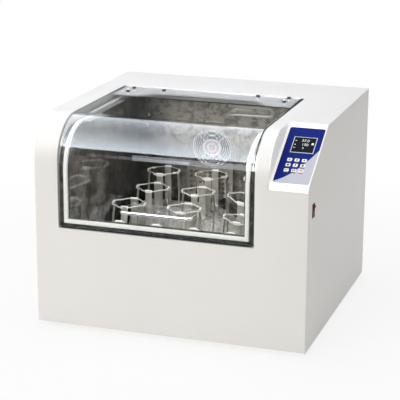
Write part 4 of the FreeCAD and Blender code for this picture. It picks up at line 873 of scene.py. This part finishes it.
round_edges(lid, on_lid_edge, edge_bevel, 1)
smooth(lid, 30)
finish(lid, "clear_lid", acrylic, "lid", "clear_acrylic", "lid_sheet")
lid.data.materials.append(lid_edge_shade)
for face in lid.data.polygons:
    at_side = min(face.center.x - lid_low.x, lid_high.x - face.center.x) < corner_round
    at_foot = face.center.z < lid_low.z + corner_round
    if at_side and abs(face.normal.x) > 0.3 or at_foot and face.normal.z < -0.3:
        face.material_index = 1

# Lid plate and hinge: a waved plate of satin stainless steel under the lid's rear edge, with
# the knuckles of the lid. The casing's knuckles and the pin complete the hinge.
satin, shader = new_material("satin_steel", (0.80, 0.795, 0.785), 0.36, 0.2)
brush = use_effect(satin, streaks, **{"Along X": 25.0, "Along Y": 1300.0, "Along Z": 1300.0})
satin.node_tree.links.new(spread(satin, brush, 0.26, 0.40), shader.inputs["Roughness"])
relief(satin, shader, brush, 0.06, 0.0003)
plate_gap = 0.0002
for node, name, body in (("hinge_plate", "waved_plate", "lid"), ("hinge_pin", "long_pin", "lid"),
                         ("hinge_base", "casing_knuckles", "root")):
    hinge = copy_of_solid(node)
    smooth(hinge, 35)
    finish(hinge, name, satin, body, "stainless", node)
    if name == "waved_plate":
        hinge.data.materials.append(plate_white)
        for corner in hinge.data.vertices:
            if corner.co.y < pin_low.y - 0.002:
                corner.co.z -= plate_gap
        # Its front faces are drawn down into a folded lip and given the bright clamp_plate white, which
        # is painted highlight on the fold.
        fold_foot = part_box(node)[0].z + 0.0002
        for face in hinge.data.polygons:
            if face.normal.y < -0.4 and face.center.y < pin_low.y - 0.02:
                face.material_index = 1
                for corner in face.vertices:
                    spot = hinge.data.vertices[corner].co
                    if spot.z < face.center.z:
                        spot.z = fold_foot

# Lid nuts: six dark nuts with white domes on rubber washers. Their bolts hold the sheet to the
# plate, and the bolts' heads show under it.
dark_nut = grained("nut_steel", (0.10, 0.10, 0.105), 0.3, 0.8, 500.0, 0.05, 0.0002)
nut_places = [
    (lid_low.x + 0.037, hinge_y - 0.075), (lid_low.x + 0.038, hinge_y - 0.029),
    (lid_low.x + 0.127, hinge_y - 0.033), (lid_high.x - 0.122, hinge_y - 0.020),
    (lid_high.x - 0.036, hinge_y - 0.066), (lid_high.x - 0.037, hinge_y - 0.014)]
washer_radius, washer_thick = 0.0065, 0.001
nut_radius, nut_high = 0.0048, 0.0045
head_radius, head_high = 0.0042, 0.0025
plate_under = lid_high.z - 0.005 - 0.0015
parts = []
for sides, radius, start, length, edge, coat in (
        (32, washer_radius, lid_high.z, washer_thick, 0.0003, rubber),
        (6, nut_radius, lid_high.z + washer_thick, nut_high, 0.0005, dark_nut),
        (6, head_radius, plate_under - head_high, head_high, 0.0004, plate_white)):
    bpy.ops.mesh.primitive_cylinder_add(
        vertices=sides, radius=radius, depth=length, location=(0, 0, start + length / 2))
    part = bpy.context.object
    bpy.ops.object.transform_apply(location=True, rotation=True, scale=True)
    soften(part, edge, 2, 50)
    paint_over(part, coat)
    parts.append(part)
bpy.ops.mesh.primitive_uv_sphere_add(
    segments=24, ring_count=12, radius=nut_radius * 0.86,
    location=(0, 0, lid_high.z + washer_thick + nut_high - 0.0006))
dome = bpy.context.object
dome.scale.z = 0.62
paint_over(dome, plate_white)
parts.append(dome)
nut = joined(parts)
smooth(nut, 50)
nuts = []
for x, y in nut_places:
    nuts.append(twin(nut, "nut"))
    nuts[-1].data.transform(Matrix.Translation((x, y, 0)))
bpy.data.objects.remove(nut)
nuts = joined(nuts)
finish(nuts, "dome_nuts", None, "lid", "chrome_bright", "lid_nuts")

# Handle: a steel bar, bent at both ends and polished. A collar at each end stands against the
# sheet, where a screw from inside holds it.
chrome = grained("chrome_bright", (0.72, 0.72, 0.71), 0.14, 1.0, 300.0, 0.02, 0.0002)
handle = copy_of_solid("lid_handle")
smooth(handle, 40)
finish(handle, "bar_handle", chrome, "lid", "chrome_bright", "lid_handle")

# Control console: one moulding of satin white plastic, tilted back, with a wall beside the cover.
# Its wall and its sloping faces glow faintly in a second finish, which is painted light.
moulded = grained("panel_plastic", (0.875, 0.872, 0.862), 0.40, 0.0, 700.0, 0.05, 0.0003)
console = copy_of_solid("control_console")
soften(console, 0.0008, 2)
smooth(console, 20)
finish(console, "panel_moulding", moulded, "root", "panel_plastic", "control_console")
# Painted light: a faint glow on the console's wall and its slopes.
painted_glow, shader = new_material("panel_painted_glow", (0.90, 0.90, 0.86), 0.45)
shader.inputs["Emission Color"].default_value = (1.0, 1.0, 0.94, 1)
shader.inputs["Emission Strength"].default_value = 0.24
relief(painted_glow, shader, use_effect(painted_glow, grain, Scale=700.0), 0.05, 0.0003)
console.data.materials.append(painted_glow)
console_low, console_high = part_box("control_console")
for face in console.data.polygons:
    on_wall = face.normal.x > 0.8 and face.center.x < console_low.x + 0.006
    if on_wall or face.normal.y < -0.3 and face.normal.z > 0.3:
        face.material_index = 1

# Label film: a printed polyester film on the panel, blue at the top left and pale at the
# bottom right, where the two meet along a shallow curve. It is glued to the panel.
wall_thick = 0.0025
ledge_run, ledge_rise = 0.009, 0.018
panel_foot = Vector((console_low.x + wall_thick, console_low.y + ledge_run,
                     console_low.z + ledge_rise))
panel_rise = Vector((panel_foot.x, console_high.y, console_high.z)) - panel_foot
up_slope = panel_rise.normalized()
# In the panel's own frame X runs across it, Y up its slope and Z out of its face.
panel_frame = Matrix((
    (1, 0, 0, panel_foot.x), (0, up_slope.y, -up_slope.z, panel_foot.y),
    (0, up_slope.z, up_slope.y, panel_foot.z), (0, 0, 0, 1)))


def panel_tile(x, along, low, high, corner, segments=5, edge=0.0):
    """A rounded tile on the panel, between two places across and two up the slope."""
    tile = block(x, along, (low, high))
    if corner:
        mesh = tile.data
        for part in (mesh.vertices, mesh.polygons):
            part.foreach_set("select", [False] * len(part))
        for side in mesh.edges:
            first, second = (mesh.vertices[end].co for end in side.vertices)
            side.select = abs(first.z - second.z) > (high - low) / 2
        bpy.ops.object.mode_set(mode="EDIT")
        bpy.ops.mesh.select_mode(type="EDGE")
        bpy.ops.mesh.bevel(offset=corner, segments=segments, affect="EDGES")
        bpy.ops.object.mode_set(mode="OBJECT")
    if edge:
        soften(tile, edge, 2)
    return tile


film_x = (0.0055, 0.0962)
film_along = (0.001, 0.193)
film_thick = 0.0003
edge_foot, edge_slope, edge_bow, edge_sharp = 0.004, 0.32, 9.2, 2400.0
film, shader = new_material("label_film", (0.02, 0.05, 0.3), 0.5)
shader.inputs["Specular IOR Level"].default_value = 0.05
tree = film.node_tree
axes = own_place(tree)
across = math_node(tree, "MULTIPLY_ADD", axes["X"], 1.0, -panel_foot.x)
height = math_node(tree, "MULTIPLY_ADD", axes["Z"], 1 / up_slope.z, -panel_foot.z / up_slope.z)
bow = math_node(tree, "MULTIPLY_ADD", across, across, 0.0)
edge_line = math_node(tree, "MULTIPLY_ADD", bow, -edge_bow, height)
edge_line = math_node(tree, "MULTIPLY_ADD", across, -edge_slope, edge_line)
edge_line = math_node(tree, "MULTIPLY_ADD", edge_line, edge_sharp, 0.5 - edge_sharp * edge_foot)
blue_mask = tree.nodes.new("ShaderNodeClamp")
tree.links.new(edge_line, blue_mask.inputs[0])
tones(film, shader, blue_mask.outputs[0], (0.56, 0.575, 0.66), (0.003, 0.014, 0.185))
relief(film, shader, use_effect(film, grain, Scale=900.0), 0.04, 0.0002)
label = panel_tile(film_x, film_along, -0.0001, film_thick, 0.005)
label.data.transform(panel_frame)
smooth(label, 30)
finish(label, "label_film", film, "root", "panel_plastic")

# Display: a thin pale frame round a dark glass, let into the panel. Rows of white figures
# stand on the glass.
frame_x = (0.0240, 0.0830)
frame_along = (0.1055, 0.1605)
frame_line = 0.0017
bezel_pale = grained("display_frame", (0.70, 0.71, 0.78), 0.3, 0.0, 900.0, 0.04, 0.0002)
bezel = panel_tile(frame_x, frame_along, 0.0, 0.0007, 0.0008, 2)
bezel.data.transform(panel_frame)
smooth(bezel, 30)
finish(bezel, "display_bezel", bezel_pale, "root", "display_frame", "display_module")
screen_dark, shader = new_material("screen_dark", (0.006, 0.006, 0.012), 0.4)
shader.inputs["Specular IOR Level"].default_value = 0.04
shine = use_effect(screen_dark, mottle, Scale=30.0, Contrast=6.0, Middle=0.655)
tones(screen_dark, shader, shine, (0.003, 0.005, 0.009), (0.22, 0.055, 0.025))
screen = panel_tile((frame_x[0] + frame_line, frame_x[1] - frame_line),
                    (frame_along[0] + frame_line, frame_along[1] - frame_line),
                    0.0, 0.0009, 0.0004, 2)
screen.data.transform(panel_frame)
finish(screen, "display_glass", screen_dark, "root", "display_frame")


def figures(words, x, along, high):
    """A line of raised figures on the glass, from its left foot."""
    bpy.ops.object.text_add(location=(x, along, glass_level))
    print_line = bpy.context.object
    print_line.data.body = words
    print_line.data.size = high * 1.45
    print_line.data.extrude = figure_thick
    bpy.ops.object.convert(target="MESH")
    bpy.ops.object.transform_apply(location=True, rotation=True, scale=True)
    return bpy.context.object


figure_white, shader = new_material("figure_white", (0.8, 0.8, 0.82), 0.5)
shader.inputs["Emission Color"].default_value = (0.9, 0.92, 1.0, 1)
shader.inputs["Emission Strength"].default_value = 0.1
relief(figure_white, shader, use_effect(figure_white, grain, Scale=900.0), 0.04, 0.0002)
glass_level, figure_thick = 0.00095, 0.00004
shown = [figures("37.0", 0.0450, 0.1440, 0.0080),
         figures("150", 0.0475, 0.1305, 0.0080),
         figures("8", 0.0515, 0.1200, 0.0050)]
for along in (0.1455, 0.1320, 0.1210):
    shown.append(panel_tile((0.0295, 0.0330), (along, along + 0.0022), glass_level,
                            glass_level + figure_thick, 0))
shown.append(panel_tile((0.0720, 0.0775), (0.1345, 0.1415), glass_level, glass_level + figure_thick, 0))
shown = joined(shown)
shown.data.transform(panel_frame)
finish(shown, "display_figures", figure_white, "root", "display_frame")

# Keys: nine white caps in three rows, each with a black sign on it. The last one, which starts and
# stops the drive, has a red sign. Below each cap lies a strip in its sign's ink, which is painted
# shadow of the raised cap.
key_white = grained("key_white", (0.86, 0.86, 0.87), 0.4, 0.0, 800.0, 0.05, 0.0002)
sign_black = grained("sign_black", (0.012, 0.012, 0.014), 0.45, 0.0, 900.0, 0.05, 0.0002)
sign_red = grained("sign_red", (0.55, 0.02, 0.03), 0.45, 0.0, 900.0, 0.05, 0.0002)
key_wide, key_tall, key_proud = 0.0122, 0.0100, 0.0009
first_x, pitch_x = 0.030, 0.0185
first_along, pitch_along = 0.0445, 0.018
sign_level = key_proud + 0.00002
sign_thick = 0.00006
key_shade_high = 0.0038
key_shade_strips = []


def sign_disc(x, along, radius, sides, turn):
    bpy.ops.mesh.primitive_cylinder_add(
        vertices=sides, radius=radius, depth=sign_thick, location=(x, along, sign_level),
        rotation=(0, 0, math.radians(turn)))
    return bpy.context.object


def sign_bar(x, along, half_x, half_along):
    return panel_tile((x - half_x, x + half_x), (along - half_along, along + half_along),
                      sign_level - sign_thick / 2, sign_level + sign_thick / 2, 0)


# A sign is made of discs, given by radius, number of sides and turn in degrees, and of bars,
# given by place across and along and by half the width and height.
key_signs = (
    ((0.0037, 3, 90),),
    ((0.0037, 3, 180),),
    ((0.0037, 3, 0),),
    ((0.00333, 24, 0),),
    ((0, 0, 0.0011, 0.0032), (0, 0.0008, 0.0026, 0.0009)),
    ((0, 0, 0.0028, 0.0028),),
    ((0, 0, 0.0030, 0.0011),),
    ((0, 0.0024, 0.0032, 0.0008), (0, -0.0016, 0.0032, 0.0008),
     (-0.0028, 0, 0.0008, 0.0024), (0.0028, 0, 0.0008, 0.0024)),
    ((0, 0.0026, 0.0034, 0.0009), (-0.0030, 0, 0.0008, 0.0026), (0.0030, 0, 0.0008, 0.0026),
     (0.0012, 12, 0)))
for number in range(9):
    line, column = divmod(number, 3)
    x = first_x + pitch_x * column
    along = first_along + pitch_along * (2 - line)
    body = f"key_{number + 1}_body"
    ink = sign_red if number == 8 else sign_black
    cap = panel_tile((x - key_wide / 2, x + key_wide / 2), (along - key_tall / 2, along + key_tall / 2),
                     -0.006, key_proud, 0.0016, 4, 0.0004)
    cap.data.transform(panel_frame)
    finish(cap, f"key_{number + 1}_cap", key_white, body, "key_white", f"key_{number + 1}")
    sign = joined([
        sign_disc(x, along, *form) if len(form) == 3
        else sign_bar(x + form[0], along + form[1], *form[2:]) for form in key_signs[number]])
    sign.data.transform(panel_frame)
    finish(sign, f"key_{number + 1}_sign", ink, body, "key_white")
    # Painted shadow: a strip in the sign's ink just below the cap.
    strip = panel_tile((x - key_wide / 2 + 0.0003, x + key_wide / 2 - 0.0003),
                       (along - key_tall / 2 - key_shade_high, along - key_tall / 2 - 0.0002),
                       film_thick - 0.0001, film_thick + sign_thick, 0)
    paint_over(strip, ink)
    key_shade_strips.append(strip)
key_shade_strips = joined(key_shade_strips)
key_shade_strips.data.transform(panel_frame)
finish(key_shade_strips, "key_painted_shade", None, "root", "panel_plastic")

# Control board: a printed board in mottled green lacquer, on its posts under the panel.
# Copper areas show through the lacquer as lighter patches.
board, shader = new_material("circuit_green", (0.03, 0.18, 0.08), 0.35)
tones(board, shader, use_effect(board, mottle, Scale=120.0, Contrast=6.0, Middle=0.5),
      (0.02, 0.12, 0.05), (0.05, 0.26, 0.12))
paint_over(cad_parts["control_board"], board)

# Rocker switch: a black moulded frame, snapped into the right side, and a red rocker that
# tilts on two pins in it.
switch_black = grained("switch_black", (0.010, 0.010, 0.011), 0.5, 0.0, 900.0, 0.08, 0.0003, 0.15)
rocker_red = grained("rocker_red", (0.30, 0.014, 0.014), 0.4, 0.0, 500.0, 0.02, 0.0002, 0.08)
bezel = copy_of_solid("switch_bezel")
soften(bezel, 0.0007, 2)
finish(bezel, "switch_frame", switch_black, "root", "switch_black", "switch_bezel")
rocker = copy_of_solid("rocker")
soften(rocker, 0.0009, 3, 40)
finish(rocker, "red_rocker", rocker_red, "rocker_body", "rocker_red", "rocker")

# Power inlet: a recessed inlet, moulded in the same black plastic as the switch, in the rear
# panel.
inlet = copy_of_solid("power_inlet")
soften(inlet, 0.0004, 2)
finish(inlet, "mains_inlet", switch_black, "root", "switch_black", "power_inlet")
